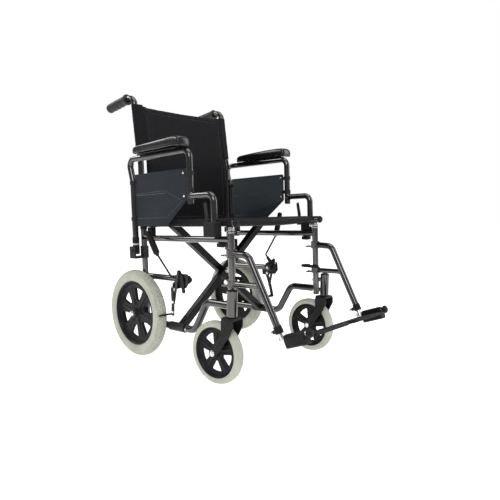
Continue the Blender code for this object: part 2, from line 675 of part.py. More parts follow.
# ---- brakes -------------------------------------------------------------------------------------
def strip(points, half):
    """An outline of constant half width round a line of (y, z) points."""
    left, right = [], []
    for i, point in enumerate(points):
        before = Vector(points[max(i - 1, 0)])
        after = Vector(points[min(i + 1, len(points) - 1)])
        along = (after - before).normalized()
        normal = Vector((-along.y, along.x)) * half
        end = along * half * (-1 if i == 0 else 1 if i == len(points) - 1 else 0)
        left.append(tuple(Vector(point) + normal + end))
        right.append(tuple(Vector(point) - normal + end))
    return left + right[::-1]


def brake(side, tag, chassis):
    """Bracket, lever, shoe arm and link: locked on the right, let off on the left."""
    freed = side > 0
    lever_turn = LEVER_TRAVEL if freed else 0.0
    arm_turn = ARM_TRAVEL if freed else 0.0
    link_turn = LINK_TRAVEL if freed else 0.0
    layers = [BRAKE_X + i * (BRAKE_LAYER + 0.0006) for i in range(4)]
    py, pz = LEVER_PIVOT
    qy, qz = ARM_PIVOT
    outline = [(-0.198, 0.304), (-0.214, 0.311), (-0.258, 0.311), (-0.261, 0.280), (-0.247, 0.263),
               (-0.222, 0.262), (-0.200, 0.257), (-0.180, 0.258), (-0.178, 0.276), (-0.192, 0.284)]
    plate = flat([outline], *between(layers[0], layers[0] + BRAKE_LAYER, side))
    clamp = cylinder((side * HALF_WIDTH, -0.245, STUB_Z), (side * HALF_WIDTH, -0.215, STUB_Z), 0.0150, 16)
    top = layers[3] + BRAKE_LAYER
    pins = [cylinder((side * (layers[0] + 0.001), y, z), (side * end, y, z), 0.004, 10)
            for y, z, end in ((py, pz, layers[1] + BRAKE_LAYER + 0.0004), (qy, qz, top + 0.003))]
    stub = cylinder((side * HALF_WIDTH, -0.30, STUB_Z), (side * HALF_WIDTH, -0.16, STUB_Z),
                    RAIL_R + GAP, 24)
    bracket = cut(joined(plate, clamp, *pins), stub)
    place(bracket, f"brake_bracket_{tag}", "black_steel", chassis)

    swing = pivot(f"brake_lever_{tag}", (side * layers[1], py, pz), chassis)
    depth = between(layers[1], layers[1] + BRAKE_LAYER, side)
    blade = flat([strip([(-0.239, 0.250), (py, pz), LINK_HIGH], 0.0070), circle((py, pz), 0.004 + RUN, 12)],
                 *depth)
    tongue = flat([strip([(-0.2150, 0.3005), (-0.1860, 0.2985)], 0.0060)], *depth)
    mid = side * (layers[1] + BRAKE_LAYER / 2)
    far = side * (BRAKE_X + 0.0343)
    stalk = rod([(mid, -0.190, 0.2985), (mid, -0.174, 0.2995), (far, *GRIP_LOW),
                 (far, GRIP_LOW[0] + 0.0032, GRIP_LOW[1] + 0.005)], 0.0033, 8)
    grip = cylinder((far, *GRIP_LOW), (far, *GRIP_HIGH), 0.0112, SIDES)
    lever = joined(blade, tongue, stalk, grip)
    lever.data.transform(Matrix.Translation((0, py, pz)) @ Matrix.Rotation(lever_turn, 4, "X")
                         @ Matrix.Translation((0, -py, -pz)))
    place(lever, f"brake_lever_{tag}", "black_steel", swing)

    hang = pivot(f"brake_arm_{tag}", (side * layers[3], qy, qz), chassis)
    shank = flat([strip([(qy, qz), LINK_LOW, (-0.187, 0.172)], 0.0065), circle((qy, qz), 0.004 + RUN, 12)],
                 *between(layers[3], layers[3] + BRAKE_LAYER, side))
    arm_x = side * (layers[3] + BRAKE_LAYER / 2)
    shoe = rod(rounded_route([(arm_x, -0.187, 0.172), (arm_x, *SHOE), (side * (WHEEL_X + 0.025), *SHOE)], 0.006, 3),
               0.0034, 8)
    arm = joined(shank, shoe)
    about = Matrix.Translation((0, qy, qz)) @ Matrix.Rotation(arm_turn, 4, "X")
    arm.data.transform(about @ Matrix.Translation((0, -qy, -qz)))
    place(arm, f"brake_arm_{tag}", "black_steel", hang)

    low = turned_about(LINK_LOW, ARM_PIVOT, arm_turn)
    joint = pivot(f"brake_link_{tag}", (side * layers[2], *low), hang)
    link = flat([strip([LINK_LOW, LINK_HIGH], 0.0050)], *between(layers[2], layers[2] + BRAKE_LAYER, side))
    link.data.transform(Matrix.Translation((0, *low)) @ Matrix.Rotation(link_turn, 4, "X")
                        @ Matrix.Translation((0, -LINK_LOW[0], -LINK_LOW[1])))
    place(link, f"brake_link_{tag}", "black_steel", joint)


# ---- footrest -----------------------------------------------------------------------------------
def along_barrel(side, t, x=BARREL_X, lift=0.0):
    """A point t along the footplate's hinge barrel, lifted square to it."""
    return Vector((side * x,
                   BARREL_BACK[0] - t * math.cos(BARREL_TILT) + lift * math.sin(BARREL_TILT),
                   BARREL_BACK[1] + t * math.sin(BARREL_TILT) + lift * math.cos(BARREL_TILT)))


def footrest(side, tag, chassis):
    x = side * HALF_WIDTH
    swing = pivot(f"hanger_{tag}", (x, POST_Y, HANGER_LOW_Z), chassis)
    foot = Vector((side * HANGER_FOOT_X, *HANGER_FOOT))
    corner = (x, HANGER_BEND_Y, HANGER_TOP_Z - 0.004)
    route = rounded_route([(x, POST_Y, HANGER_TOP_Z), corner, foot], 0.030, 4)
    leg = rod(route, TUBE_R)
    share = (corner[2] - HANGER_LOW_Z) / (corner[2] - foot.z)
    meet = Vector(corner).lerp(foot, share)
    cross = rod([(x, POST_Y, HANGER_LOW_Z), meet], 0.0088)
    pieces = []
    for z, tall in ((HANGER_TOP_Z, 0.026), (HANGER_LOW_Z, 0.020)):
        pieces.append(cylinder((x, POST_Y, z - tall / 2), (x, POST_Y, z + tall / 2), COLLAR_R, 16))
        pieces.append(block((x - 0.014, POST_Y - 0.025, z - 0.0085), (x + 0.014, POST_Y + 0.040, z - 0.0045)))
    post = cylinder((x, POST_Y, 0.26), (x, POST_Y, 0.41), TUBE_R + RUN, 24)
    hanger = cut(joined(leg, cross, *pieces), post)
    place(hanger, f"footrest_hanger_{tag}", "frame_steel", swing)

    thumb_y, thumb_z = POST_Y - 0.022, HANGER_LOW_Z + 0.0155
    inner = HALF_WIDTH - COLLAR_R - 0.0012
    latch_pivot = pivot(f"footrest_latch_{tag}", (side * (inner - 0.004), thumb_y, thumb_z), swing)
    low, high = between(inner, inner - 0.008, side)
    bar = block((low, thumb_y - 0.006, thumb_z - 0.005), (high, thumb_y + 0.062, thumb_z + 0.005), 0.0015)
    tab = block(between(inner - 0.008, inner + 0.018, side)[0:1] + [thumb_y + 0.046, thumb_z - 0.004],
                between(inner - 0.008, inner + 0.018, side)[1:2] + [thumb_y + 0.070, thumb_z + 0.006], 0.0015)
    place(joined(bar, tab), f"footrest_latch_{tag}", "black_plastic", latch_pivot)

    down = (foot - Vector(corner)).normalized()
    top = foot + down * 0.0015
    low_end = along_barrel(side, 0.012)
    inner_tube = rod([top, low_end], 0.0090)
    barrel = cylinder(along_barrel(side, 0), along_barrel(side, BARREL_LENGTH), BARREL_R, SIDES)
    place(joined(inner_tube, barrel), f"footplate_tube_{tag}", "bright_steel", swing)

    knob = cylinder(along_barrel(side, BARREL_LENGTH + GAP), along_barrel(side, BARREL_LENGTH + 0.013),
                    KNOB_R, 16)
    place(knob, f"footplate_cap_{tag}", "black_plastic", swing)

    flip = pivot(f"footplate_{tag}", along_barrel(side, 0), swing)
    ahead = along_barrel(side, 1) - along_barrel(side, 0)
    lifted = along_barrel(side, 0, lift=1) - along_barrel(side, 0)
    frame = Matrix.Translation(along_barrel(side, 0)) @ Matrix(
        ((1, 0, 0), ahead, lifted)).transposed().to_4x4()
    inward = -side
    hinge = block((-BLOCK_HALF, BLOCK_START, -BLOCK_DROP), (BLOCK_HALF, BLOCK_END, BLOCK_HALF - 0.002),
                  0.003, frame)
    reach = BARREL_X - PLATE_INNER
    # the back edge slants clear of the hanger's leg, which it passes as the plate flips up
    outline = [(BLOCK_HALF - 0.004, BLOCK_START), (0.032, BLOCK_START), (0.040, PLATE_BACK + 0.0085),
               (0.092, PLATE_BACK), (reach - 0.012, PLATE_BACK), (reach, PLATE_BACK + 0.012),
               (reach, PLATE_FRONT - 0.012), (reach - 0.012, PLATE_FRONT), (0.020, PLATE_FRONT),
               (BLOCK_HALF - 0.004, BLOCK_END)]
    outline = [(inward * x, t) for x, t in outline]
    tread = flat([outline], -PLATE_DROP, PLATE_T - PLATE_DROP, frame)
    drill = cylinder(along_barrel(side, -0.02), along_barrel(side, BARREL_LENGTH + 0.03),
                     BARREL_R + RUN, 20)
    place(cut(joined(hinge, tread), drill), f"footplate_{tag}", "black_plastic", flip)


# ---- assembly -----------------------------------------------------------------------------------
def build():
    ground = pivot("ground", (0, 0, 0))
    chassis = pivot("chassis", (0, AXLE_Y, AXLE_Z))
    chassis.matrix_world = LEVEL
    right_rail = pivot("brace_a", (-HALF_WIDTH, 0, LOWER_Z), chassis)
    centre = pivot("brace_b", (0, 0, (LOWER_Z + SEAT_Z) / 2), right_rail)
    for side, tag in ((-1, "right"), (1, "left")):
        side_frame(side, tag, chassis)
        push_grip(tag, chassis, back_cane(side, tag, chassis))
        rear_wheel(side, tag, ground)
        rear_axle(side, tag, chassis)
        caster(side, tag, ground)
        armrest(side, tag, chassis)
        armrest_hinge(side, tag, chassis)
        armrest_socket(side, tag, chassis)
        armrest_latch(side, tag, chassis)
        brake(side, tag, chassis)
        footrest(side, tag, chassis)
    cross_brace(-1, "a", BRACE_A_Y, right_rail)
    cross_brace(1, "b", BRACE_B_Y, centre)
    brace_bolt(right_rail)
    seat_rail(1, "left", right_rail)
    seat_rail(-1, "right", centre)
    seat_upholstery(right_rail)
    backrest_upholstery(chassis)


build()
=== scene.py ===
import json
import math
import random

import bmesh
import bpy
from mathutils import Matrix, Vector, noise


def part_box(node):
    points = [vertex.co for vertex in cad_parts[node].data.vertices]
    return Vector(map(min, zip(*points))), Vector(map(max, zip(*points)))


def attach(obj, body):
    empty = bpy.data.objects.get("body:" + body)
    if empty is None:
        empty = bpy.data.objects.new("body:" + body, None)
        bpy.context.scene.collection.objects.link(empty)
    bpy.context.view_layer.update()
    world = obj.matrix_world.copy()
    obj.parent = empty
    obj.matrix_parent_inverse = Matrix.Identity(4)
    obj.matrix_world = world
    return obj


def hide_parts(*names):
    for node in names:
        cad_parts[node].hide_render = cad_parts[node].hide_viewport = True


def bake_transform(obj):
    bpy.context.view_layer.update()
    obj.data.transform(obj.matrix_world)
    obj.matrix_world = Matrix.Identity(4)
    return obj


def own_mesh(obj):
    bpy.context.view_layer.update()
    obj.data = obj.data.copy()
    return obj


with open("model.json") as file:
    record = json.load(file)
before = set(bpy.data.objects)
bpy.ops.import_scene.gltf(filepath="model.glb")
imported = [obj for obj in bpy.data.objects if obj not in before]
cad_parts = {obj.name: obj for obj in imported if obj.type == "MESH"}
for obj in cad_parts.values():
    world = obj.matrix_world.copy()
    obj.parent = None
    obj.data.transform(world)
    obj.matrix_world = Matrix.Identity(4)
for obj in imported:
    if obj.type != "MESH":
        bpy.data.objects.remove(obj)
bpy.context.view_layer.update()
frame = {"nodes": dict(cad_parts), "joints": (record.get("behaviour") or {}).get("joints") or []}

# The chassis is built level with its seat rails and then tipped nose up onto its wheels.
chassis = dict(
    rake=3.05,             # degrees, nose up
    axleY=0.005,           # rear axle, measured from the rear post
    axleZ=0.157,
    halfWidth=0.2185,      # middle of the chair to the middle of a side frame
    postY=-0.4565,         # front post
    seatZ=0.4796,          # middle of the seat rails
)
halfWidth, postY, seatZ = chassis["halfWidth"], chassis["postY"], chassis["seatZ"]
bothSides = ((-1, "right"), (1, "left"))


def boxMiddle(node):
    low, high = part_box(node)
    return (low + high) / 2


rearMiddle = boxMiddle("rear_rim_right")
tipped = (Matrix.Translation((0, rearMiddle.y, rearMiddle.z))
          @ Matrix.Rotation(-math.radians(chassis["rake"]), 4, "X")
          @ Matrix.Translation((0, -chassis["axleY"], -chassis["axleZ"])))
level = Matrix.Identity(4)

random.seed(11)

# ---------- materials


def shaderOf(name, colour, roughness, metallic=0.0, **sockets):
    mat = bpy.data.materials.new(name)
    mat.use_nodes = True
    tree = mat.node_tree
    shader = tree.nodes["Principled BSDF"]
    shader.inputs["Base Color"].default_value = (*colour, 1.0)
    shader.inputs["Roughness"].default_value = roughness
    shader.inputs["Metallic"].default_value = metallic
    for socket, value in sockets.items():
        shader.inputs[socket.replace("_", " ")].default_value = value
    coords = tree.nodes.new("ShaderNodeTexCoord")
    return mat, tree, shader, coords.outputs["Object"]


def noiseOf(tree, where, scale, detail=4.0, rough=0.55, stretch=None):
    node = tree.nodes.new("ShaderNodeTexNoise")
    node.inputs["Scale"].default_value = scale
    node.inputs["Detail"].default_value = detail
    node.inputs["Roughness"].default_value = rough
    if stretch:
        mapping = tree.nodes.new("ShaderNodeMapping")
        mapping.inputs["Scale"].default_value = stretch
        tree.links.new(where, mapping.inputs["Vector"])
        where = mapping.outputs["Vector"]
    tree.links.new(where, node.inputs["Vector"])
    return node.outputs["Fac"]


def rangeOf(tree, value, low, high, fromLow=0.3, fromHigh=0.7):
    node = tree.nodes.new("ShaderNodeMapRange")
    node.inputs["From Min"].default_value = fromLow
    node.inputs["From Max"].default_value = fromHigh
    node.inputs["To Min"].default_value = low
    node.inputs["To Max"].default_value = high
    tree.links.new(value, node.inputs["Value"])
    return node.outputs["Result"]


def rampOf(tree, value, *stops):
    node = tree.nodes.new("ShaderNodeValToRGB")
    ramp = node.color_ramp
    while len(ramp.elements) < len(stops):
        ramp.elements.new(0.5)
    for element, (place, colour) in zip(ramp.elements, stops):
        element.position = place
        element.color = (*colour, 1.0)
    tree.links.new(value, node.inputs["Fac"])
    return node.outputs["Color"]


def mixOf(tree, factor, first, second, blend="MIX"):
    node = tree.nodes.new("ShaderNodeMix")
    node.data_type = "RGBA"
    node.blend_type = blend
    for socket, value in ((node.inputs[0], factor), (node.inputs[6], first), (node.inputs[7], second)):
        if isinstance(value, (float, int)):
            socket.default_value = value
        elif isinstance(value, tuple):
            socket.default_value = (*value, 1.0)
        else:
            tree.links.new(value, socket)
    return node.outputs[2]


def sumOf(tree, first, second, operation="ADD"):
    node = tree.nodes.new("ShaderNodeMath")
    node.operation = operation
    for socket, value in zip(node.inputs, (first, second)):
        if isinstance(value, (float, int)):
            socket.default_value = value
        else:
            tree.links.new(value, socket)
    return node.outputs["Value"]


def bumpOf(tree, shader, height, strength, distance=0.001):
    node = tree.nodes.new("ShaderNodeBump")
    node.inputs["Strength"].default_value = strength
    node.inputs["Distance"].default_value = distance
    tree.links.new(height, node.inputs["Height"])
    tree.links.new(node.outputs["Normal"], shader.inputs["Normal"])


def edgeWearAndHollowShade(tree, low=0.52, high=0.60):
    # bright where an edge stands proud, so paint can thin there; with its range turned round it is bright in hollows
    # instead, which the tyre uses for painted shade in its grooves
    geometry = tree.nodes.new("ShaderNodeNewGeometry")
    return rangeOf(tree, geometry.outputs["Pointiness"], 0.0, 1.0, low, high)


def lacqueredSteel():
    # dark pewter lacquer over steel tube: cloudy tone, fine draw marks, a clear gloss on top
    tone = dict(dark=(0.034, 0.032, 0.032), light=(0.064, 0.061, 0.060), cloud=18.0, marks=420.0)
    mat, tree, shader, where = shaderOf("lacqueredSteel", tone["light"], 0.24, 0.92,
                                        Coat_Weight=0.55, Coat_Roughness=0.07, Coat_IOR=1.5)
    cloud = noiseOf(tree, where, tone["cloud"], 6.0)
    fleck = noiseOf(tree, where, tone["marks"] * 3, 2.0)
    blended = rampOf(tree, cloud, (0.30, tone["dark"]), (0.72, tone["light"]))
    paint = mixOf(tree, rangeOf(tree, fleck, 0.0, 0.16), blended, (0.110, 0.106, 0.104))
    worn = mixOf(tree, edgeWearAndHollowShade(tree, 0.56, 0.70), paint, (0.24, 0.235, 0.23))
    tree.links.new(worn, shader.inputs["Base Color"])
    tree.links.new(rangeOf(tree, noiseOf(tree, where, 60.0, 5.0), 0.09, 0.17), shader.inputs["Roughness"])
    bumpOf(tree, shader, noiseOf(tree, where, tone["marks"], 3.0), 0.05, 0.0006)
    return mat


def mottled(name, base, roughness, cloud, tones, edges, roughRange, bump, **sockets):
    # a clouded tone, paler where edges are rubbed, uneven roughness, and a fine surface texture
    mat, tree, shader, where = shaderOf(name, base, roughness, 0.0, **sockets)
    scale, detail = cloud
    tone = rampOf(tree, noiseOf(tree, where, scale, detail), *tones)
    if edges:
        low, high, worn = edges
        tone = mixOf(tree, edgeWearAndHollowShade(tree, low, high), tone, worn)
    tree.links.new(tone, shader.inputs["Base Color"])
    scale, detail, smooth, rough = roughRange
    tree.links.new(rangeOf(tree, noiseOf(tree, where, scale, detail), smooth, rough), shader.inputs["Roughness"])
    kind, scale, detail, strength, distance = bump
    if kind == "noise":
        height = noiseOf(tree, where, scale, detail)
    else:
        cells = tree.nodes.new("ShaderNodeTexVoronoi")
        cells.feature = kind
        cells.inputs["Scale"].default_value = scale
        tree.links.new(where, cells.inputs["Vector"])
        height = cells.outputs["Distance"]
    bumpOf(tree, shader, height, strength, distance)
    return mat


def powderCoat():
    # black powder coat: orange peel, satin, scuffed paler on its edges
    return mottled("powderCoat", (0.011, 0.011, 0.012), 0.36, (48.0, 5.0),
                   ((0.35, (0.0035, 0.0035, 0.004)), (0.75, (0.0085, 0.0085, 0.009))),
                   (0.54, 0.66, (0.030, 0.030, 0.031)), (90.0, 4.0, 0.26, 0.44),
                   ("noise", 850.0, 2.0, 0.16, 0.0005), Specular_IOR_Level=0.16)


def platedSteel():
    # bright zinc and chrome: faint clouding, hairline scratches along and across
    mat, tree, shader, where = shaderOf("platedSteel", (0.60, 0.61, 0.63), 0.18, 1.0)
    tone = rampOf(tree, noiseOf(tree, where, 70.0, 4.0), (0.3, (0.46, 0.46, 0.47)), (0.7, (0.68, 0.69, 0.71)))
    tree.links.new(tone, shader.inputs["Base Color"])
    tree.links.new(rangeOf(tree, noiseOf(tree, where, 240.0, 5.0, stretch=(1, 1, 0.1)), 0.10, 0.30),
                   shader.inputs["Roughness"])
    bumpOf(tree, shader, noiseOf(tree, where, 900.0, 3.0, stretch=(1, 0.1, 1)), 0.05, 0.0004)
    return mat


def mouldedPlastic():
    # black glass-filled nylon: spark-eroded grain, dusty in the hollows
    return mottled("mouldedPlastic", (0.013, 0.013, 0.014), 0.42, (36.0, 6.0),
                   ((0.32, (0.004, 0.004, 0.0045)), (0.78, (0.0105, 0.0105, 0.011))),
                   (0.54, 0.68, (0.028, 0.028, 0.029)), (120.0, 4.0, 0.32, 0.52),
                   ("F1", 1100.0, 0.0, 0.18, 0.0004), Specular_IOR_Level=0.13)


def panelPlastic():
    # blue-grey sheet with a leather-like pressed grain and long pale rub marks
    mat, tree, shader, where = shaderOf("panelPlastic", (0.017, 0.021, 0.026), 0.55, 0.0,
                                        Specular_IOR_Level=0.14)
    tone = rampOf(tree, noiseOf(tree, where, 9.0, 6.0), (0.30, (0.0070, 0.0098, 0.0130)),
                  (0.75, (0.0120, 0.0158, 0.0200)))
    rubs = rangeOf(tree, noiseOf(tree, where, 60.0, 6.0, stretch=(1, 0.15, 1)), 0.0, 0.35, 0.58, 0.78)
    rubbed = mixOf(tree, rubs, tone, (0.034, 0.040, 0.047))
    edged = mixOf(tree, edgeWearAndHollowShade(tree, 0.52, 0.64), rubbed, (0.075, 0.084, 0.093))
    tree.links.new(edged, shader.inputs["Base Color"])
    tree.links.new(rangeOf(tree, noiseOf(tree, where, 80.0, 4.0), 0.42, 0.60), shader.inputs["Roughness"])
    grain = tree.nodes.new("ShaderNodeTexVoronoi")
    grain.feature = "SMOOTH_F1"
    grain.inputs["Scale"].default_value = 620.0
    tree.links.new(where, grain.inputs["Vector"])
    bumpOf(tree, shader, grain.outputs["Distance"], 0.30, 0.0005)
    return mat


def gripRubber():
    # soft black rubber, hand-polished on the high ribs
    return mottled("gripRubber", (0.016, 0.016, 0.016), 0.55, (55.0, 5.0),
                   ((0.3, (0.006, 0.006, 0.006)), (0.75, (0.015, 0.015, 0.0145))),
                   (0.50, 0.60, (0.045, 0.044, 0.042)), (140.0, 4.0, 0.42, 0.64),
                   ("noise", 1000.0, 3.0, 0.22, 0.0005), Specular_IOR_Level=0.25)


def padSkin():
    # self-skinned foam armrest: glossy skin over a shallow hide grain
    return mottled("padSkin", (0.011, 0.012, 0.013), 0.24, (40.0, 5.0),
                   ((0.3, (0.003, 0.0035, 0.004)), (0.8, (0.0075, 0.008, 0.009))),
                   None, (70.0, 5.0, 0.18, 0.34), ("SMOOTH_F1", 420.0, 0.0, 0.06, 0.0004),
                   Coat_Weight=0.25, Coat_Roughness=0.10, Specular_IOR_Level=0.30)


def wovenNylon():
    # plain weave: two crossed bands of yarn, over one and under one, with slub and a soft sheen
    yarns = dict(across=1350.0, down=1350.0)
    mat, tree, shader, where = shaderOf("wovenNylon", (0.013, 0.013, 0.015), 0.62, 0.0,
                                        Sheen_Weight=0.03, Sheen_Roughness=0.45, Specular_IOR_Level=0.07)
    split = tree.nodes.new("ShaderNodeSeparateXYZ")
    tree.links.new(where, split.inputs["Vector"])
    along = sumOf(tree, split.outputs["Y"], split.outputs["Z"])
    warp = sumOf(tree, sumOf(tree, split.outputs["X"], yarns["across"], "MULTIPLY"), 0.0, "SINE")
    weft = sumOf(tree, sumOf(tree, along, yarns["down"], "MULTIPLY"), 0.0, "SINE")
    weave = sumOf(tree, warp, weft, "MULTIPLY")
    slub = noiseOf(tree, where, 210.0, 3.0, stretch=(1, 0.2, 0.2))
    worn = noiseOf(tree, where, 7.0, 5.0)
    tone = rampOf(tree, worn, (0.30, (0.0035, 0.0035, 0.0042)), (0.75, (0.0085, 0.0085, 0.0098)))
    lit = mixOf(tree, rangeOf(tree, weave, 0.0, 0.45, -1.0, 1.0), tone, (0.015, 0.015, 0.017))
    slubbed = mixOf(tree, rangeOf(tree, slub, 0.0, 0.30, 0.5, 0.8), lit, (0.019, 0.019, 0.022))
    tree.links.new(slubbed, shader.inputs["Base Color"])
    tree.links.new(rangeOf(tree, worn, 0.52, 0.70), shader.inputs["Roughness"])
    bumpOf(tree, shader, sumOf(tree, weave, slub), 0.30, 0.0004)
    return mat


def sewingThread():
    mat, tree, shader, where = shaderOf("sewingThread", (0.05, 0.05, 0.055), 0.5, 0.0)
    tone = rampOf(tree, noiseOf(tree, where, 700.0, 3.0), (0.3, (0.035, 0.035, 0.040)),
                  (0.7, (0.085, 0.085, 0.092)))
    tree.links.new(tone, shader.inputs["Base Color"])
    bumpOf(tree, shader, noiseOf(tree, where, 2600.0, 2.0), 0.3, 0.0003)
    return mat


def greyTyre():
    # non-marking grey-green rubber: chalky bloom, darker scuffs where it rolls
    mat, tree, shader, where = shaderOf("greyTyre", (0.36, 0.37, 0.31), 0.72, 0.0)
    bloom = rampOf(tree, noiseOf(tree, where, 22.0, 7.0), (0.28, (0.315, 0.325, 0.270)),
                   (0.72, (0.420, 0.430, 0.365)))
    scuff = noiseOf(tree, where, 150.0, 7.0, 0.7)
    marked = mixOf(tree, rangeOf(tree, scuff, 0.0, 0.55, 0.52, 0.78), bloom, (0.215, 0.215, 0.185))
    grooveShaded = mixOf(tree, edgeWearAndHollowShade(tree, 0.485, 0.44), marked, (0.060, 0.060, 0.052))      # painted shade in the grooves: a dark tone where the surface is hollow
    tree.links.new(grooveShaded, shader.inputs["Base Color"])
    tree.links.new(rangeOf(tree, noiseOf(tree, where, 70.0, 4.0), 0.58, 0.80), shader.inputs["Roughness"])
    bumpOf(tree, shader, noiseOf(tree, where, 700.0, 4.0), 0.25, 0.0006)
    return mat


def paleFloor(glow):
    mat, tree, shader, where = shaderOf("paleFloor", (0.86, 0.86, 0.86), 0.6, 0.0)
    tone = rampOf(tree, noiseOf(tree, where, 3.0, 3.0), (0.3, (0.855, 0.855, 0.855)), (0.7, (0.875, 0.875, 0.875)))
    tree.links.new(tone, shader.inputs["Base Color"])
    tree.links.new(tone, shader.inputs["Emission Color"])
    shader.inputs["Emission Strength"].default_value = glow
    return mat


# each finish, and the slot of the part's record that it stands for
finishes = {
    "lacquer": (lacqueredSteel(), "frame_steel"),
    "powder": (powderCoat(), "black_steel"),
    "bright": (platedSteel(), "bright_steel"),
    "plastic": (mouldedPlastic(), "black_plastic"),
    "panel": (panelPlastic(), "panel_plastic"),
    "grip": (gripRubber(), "grip_rubber"),
    "pad": (padSkin(), "pad_vinyl"),
    "nylon": (wovenNylon(), "sling_nylon"),
    "thread": (sewingThread(), "sling_nylon"),
    "tyre": (greyTyre(), "grey_rubber"),
}
print("materials:", len(finishes))

# ---------- shape helpers


def newPiece(name, mesh):
    obj = bpy.data.objects.new(name, mesh)
    bpy.context.scene.collection.objects.link(obj)
    return obj


def meshPiece(name, verts, faces):
    mesh = bpy.data.meshes.new(name)
    mesh.from_pydata([tuple(v) for v in verts], [], faces)
    return newPiece(name, mesh)


def settled(obj):
    # the object's final shape, modifiers and placement included, as a plain mesh
    bpy.context.view_layer.update()
    graph = bpy.context.evaluated_depsgraph_get()
    mesh = bpy.data.meshes.new_from_object(obj.evaluated_get(graph))
    mesh.transform(obj.matrix_world)
    name = obj.name
    bpy.data.objects.remove(obj, do_unlink=True)
    mesh.name = name
    return newPiece(name, mesh)


def merged(name, pieces):
    bm = bmesh.new()
    for piece in pieces:
        piece.data.transform(piece.matrix_world)
        bm.from_mesh(piece.data)
        bpy.data.objects.remove(piece, do_unlink=True)
    mesh = bpy.data.meshes.new(name)
    bm.to_mesh(mesh)
    bm.free()
    return newPiece(name, mesh)


def rightWayOut(obj):
    bm = bmesh.new()
    bm.from_mesh(obj.data)
    bmesh.ops.recalc_face_normals(bm, faces=bm.faces)
    bm.to_mesh(obj.data)
    bm.free()


def fitted(obj, finish, body, *nodes, sharp=38, tip=None):
    # tips the piece with the chassis, paints it, and hangs it on its body in place of its CAD nodes
    obj.data.transform(tipped if tip is None else tip)
    if obj.data.polygons:
        rightWayOut(obj)
    mat, slotName = finishes[finish]
    obj.data.materials.clear()
    obj.data.materials.append(mat)
    obj.data.shade_smooth()
    obj.data.set_sharp_from_angle(angle=math.radians(sharp))
    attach(obj, body)
    if nodes:
        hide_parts(*nodes)
    return obj


def roundedRoute(points, bend, steps=10):
    route = [Vector(points[0])]
    for before, corner, after in zip(points, points[1:], points[2:]):
        corner = Vector(corner)
        back = (Vector(before) - corner).normalized()
        ahead = (Vector(after) - corner).normalized()
        half = back.angle(ahead) / 2
        reach = bend / math.tan(half)
        middle = corner + (back + ahead).normalized() * bend / math.sin(half)
        first, last = corner + back * reach - middle, corner + ahead * reach - middle
        turn = first.angle(last)
        for i in range(steps + 1):
            share = i / steps
            route.append(middle + (first * math.sin((1 - share) * turn)
                                   + last * math.sin(share * turn)) / math.sin(turn))
    route.append(Vector(points[-1]))
    return route


def sweep(name, route, radius, sides=28, closed=False):
    # a round bar along a route; radius is a number or a function of (distance, angle)
    route = [Vector(p) for p in route]
    tangents = []
    for i, spot in enumerate(route):
        if closed:
            before, after = route[i - 1], route[(i + 1) % len(route)]
        else:
            before, after = route[max(i - 1, 0)], route[min(i + 1, len(route) - 1)]
        tangents.append((after - before).normalized())
    up = tangents[0].orthogonal().normalized()
    if abs(tangents[0].z) < 0.9:
        up = (Vector((0, 0, 1)) - tangents[0] * tangents[0].z).normalized()
    rings, travelled = [], 0.0
    for i, spot in enumerate(route):
        if i:
            up = (up - tangents[i] * up.dot(tangents[i])).normalized()
            travelled += (spot - route[i - 1]).length
        across = tangents[i].cross(up)
        ring = []
        for k in range(sides):
            angle = 2 * math.pi * k / sides
            r = radius(travelled, angle) if callable(radius) else radius
            ring.append(spot + (up * math.cos(angle) + across * math.sin(angle)) * r)
        rings.append(ring)
    verts = [v for ring in rings for v in ring]
    faces = []
    count = len(rings)
    for i in range(count if closed else count - 1):
        j = (i + 1) % count
        for k in range(sides):
            n = (k + 1) % sides
            faces.append((i * sides + k, i * sides + n, j * sides + n, j * sides + k))
    if not closed:
        faces.append(tuple(range(sides))[::-1])
        faces.append(tuple((count - 1) * sides + k for k in range(sides)))
    return meshPiece(name, verts, faces)


def lathe(name, profile, at, axis, steps=64, closed=False):
    # profile points are (radius, distance along the axis)
    frameOf = Matrix.Translation(at) @ Vector(axis).to_track_quat("Z", "Y").to_matrix().to_4x4()
    verts, starts = [], []
    for radius, height in profile:
        starts.append(len(verts))
        if radius < 1e-6:
            verts.append(Vector((0, 0, height)))
            continue
        for k in range(steps):
            angle = 2 * math.pi * k / steps
            verts.append(Vector((radius * math.cos(angle), radius * math.sin(angle), height)))
    pairs = list(zip(range(len(profile) - 1), range(1, len(profile))))
    if closed:
        pairs.append((len(profile) - 1, 0))
    faces = []
    for a, b in pairs:
        for k in range(steps):
            n = (k + 1) % steps
            first = [starts[a]] if profile[a][0] < 1e-6 else [starts[a] + k, starts[a] + n]
            second = [starts[b]] if profile[b][0] < 1e-6 else [starts[b] + n, starts[b] + k]
            if len(first) + len(second) > 2:
                faces.append(tuple(first + second))
    obj = meshPiece(name, [frameOf @ v for v in verts], faces)
    rightWayOut(obj)
    return obj


def softCorners(outline, radius, steps=4):
    # the outline with each corner turned into an arc, smaller where there is no room
    result = []
    count = len(outline)
    for i in range(count):
        before, corner, after = (Vector(outline[j % count]) for j in (i - 1, i, i + 1))
        back, ahead = before - corner, after - corner
        half = back.angle(ahead) / 2
        if half > math.radians(84):
            result.append(tuple(corner))
            continue
        reach = min(radius / math.tan(half), back.length * 0.45, ahead.length * 0.45)
        r = reach * math.tan(half)
        back.normalize(), ahead.normalize()
        middle = corner + (back + ahead).normalized() * r / math.sin(half)
        first, last = corner + back * reach - middle, corner + ahead * reach - middle
        turn = first.angle(last)
        for k in range(steps + 1):
            share = k / steps
            spot = middle + (first * math.sin((1 - share) * turn)
                             + last * math.sin(share * turn)) / math.sin(turn)
            result.append(tuple(spot))
    return result


def ringOf(centre, radius, count=24):
    return [(centre[0] + radius * math.cos(2 * math.pi * i / count),
             centre[1] + radius * math.sin(2 * math.pi * i / count)) for i in range(count)]


acrossX = Matrix(((0, 0, 1), (1, 0, 0), (0, 1, 0))).to_4x4()   # outline x, y, depth to Y, Z, X


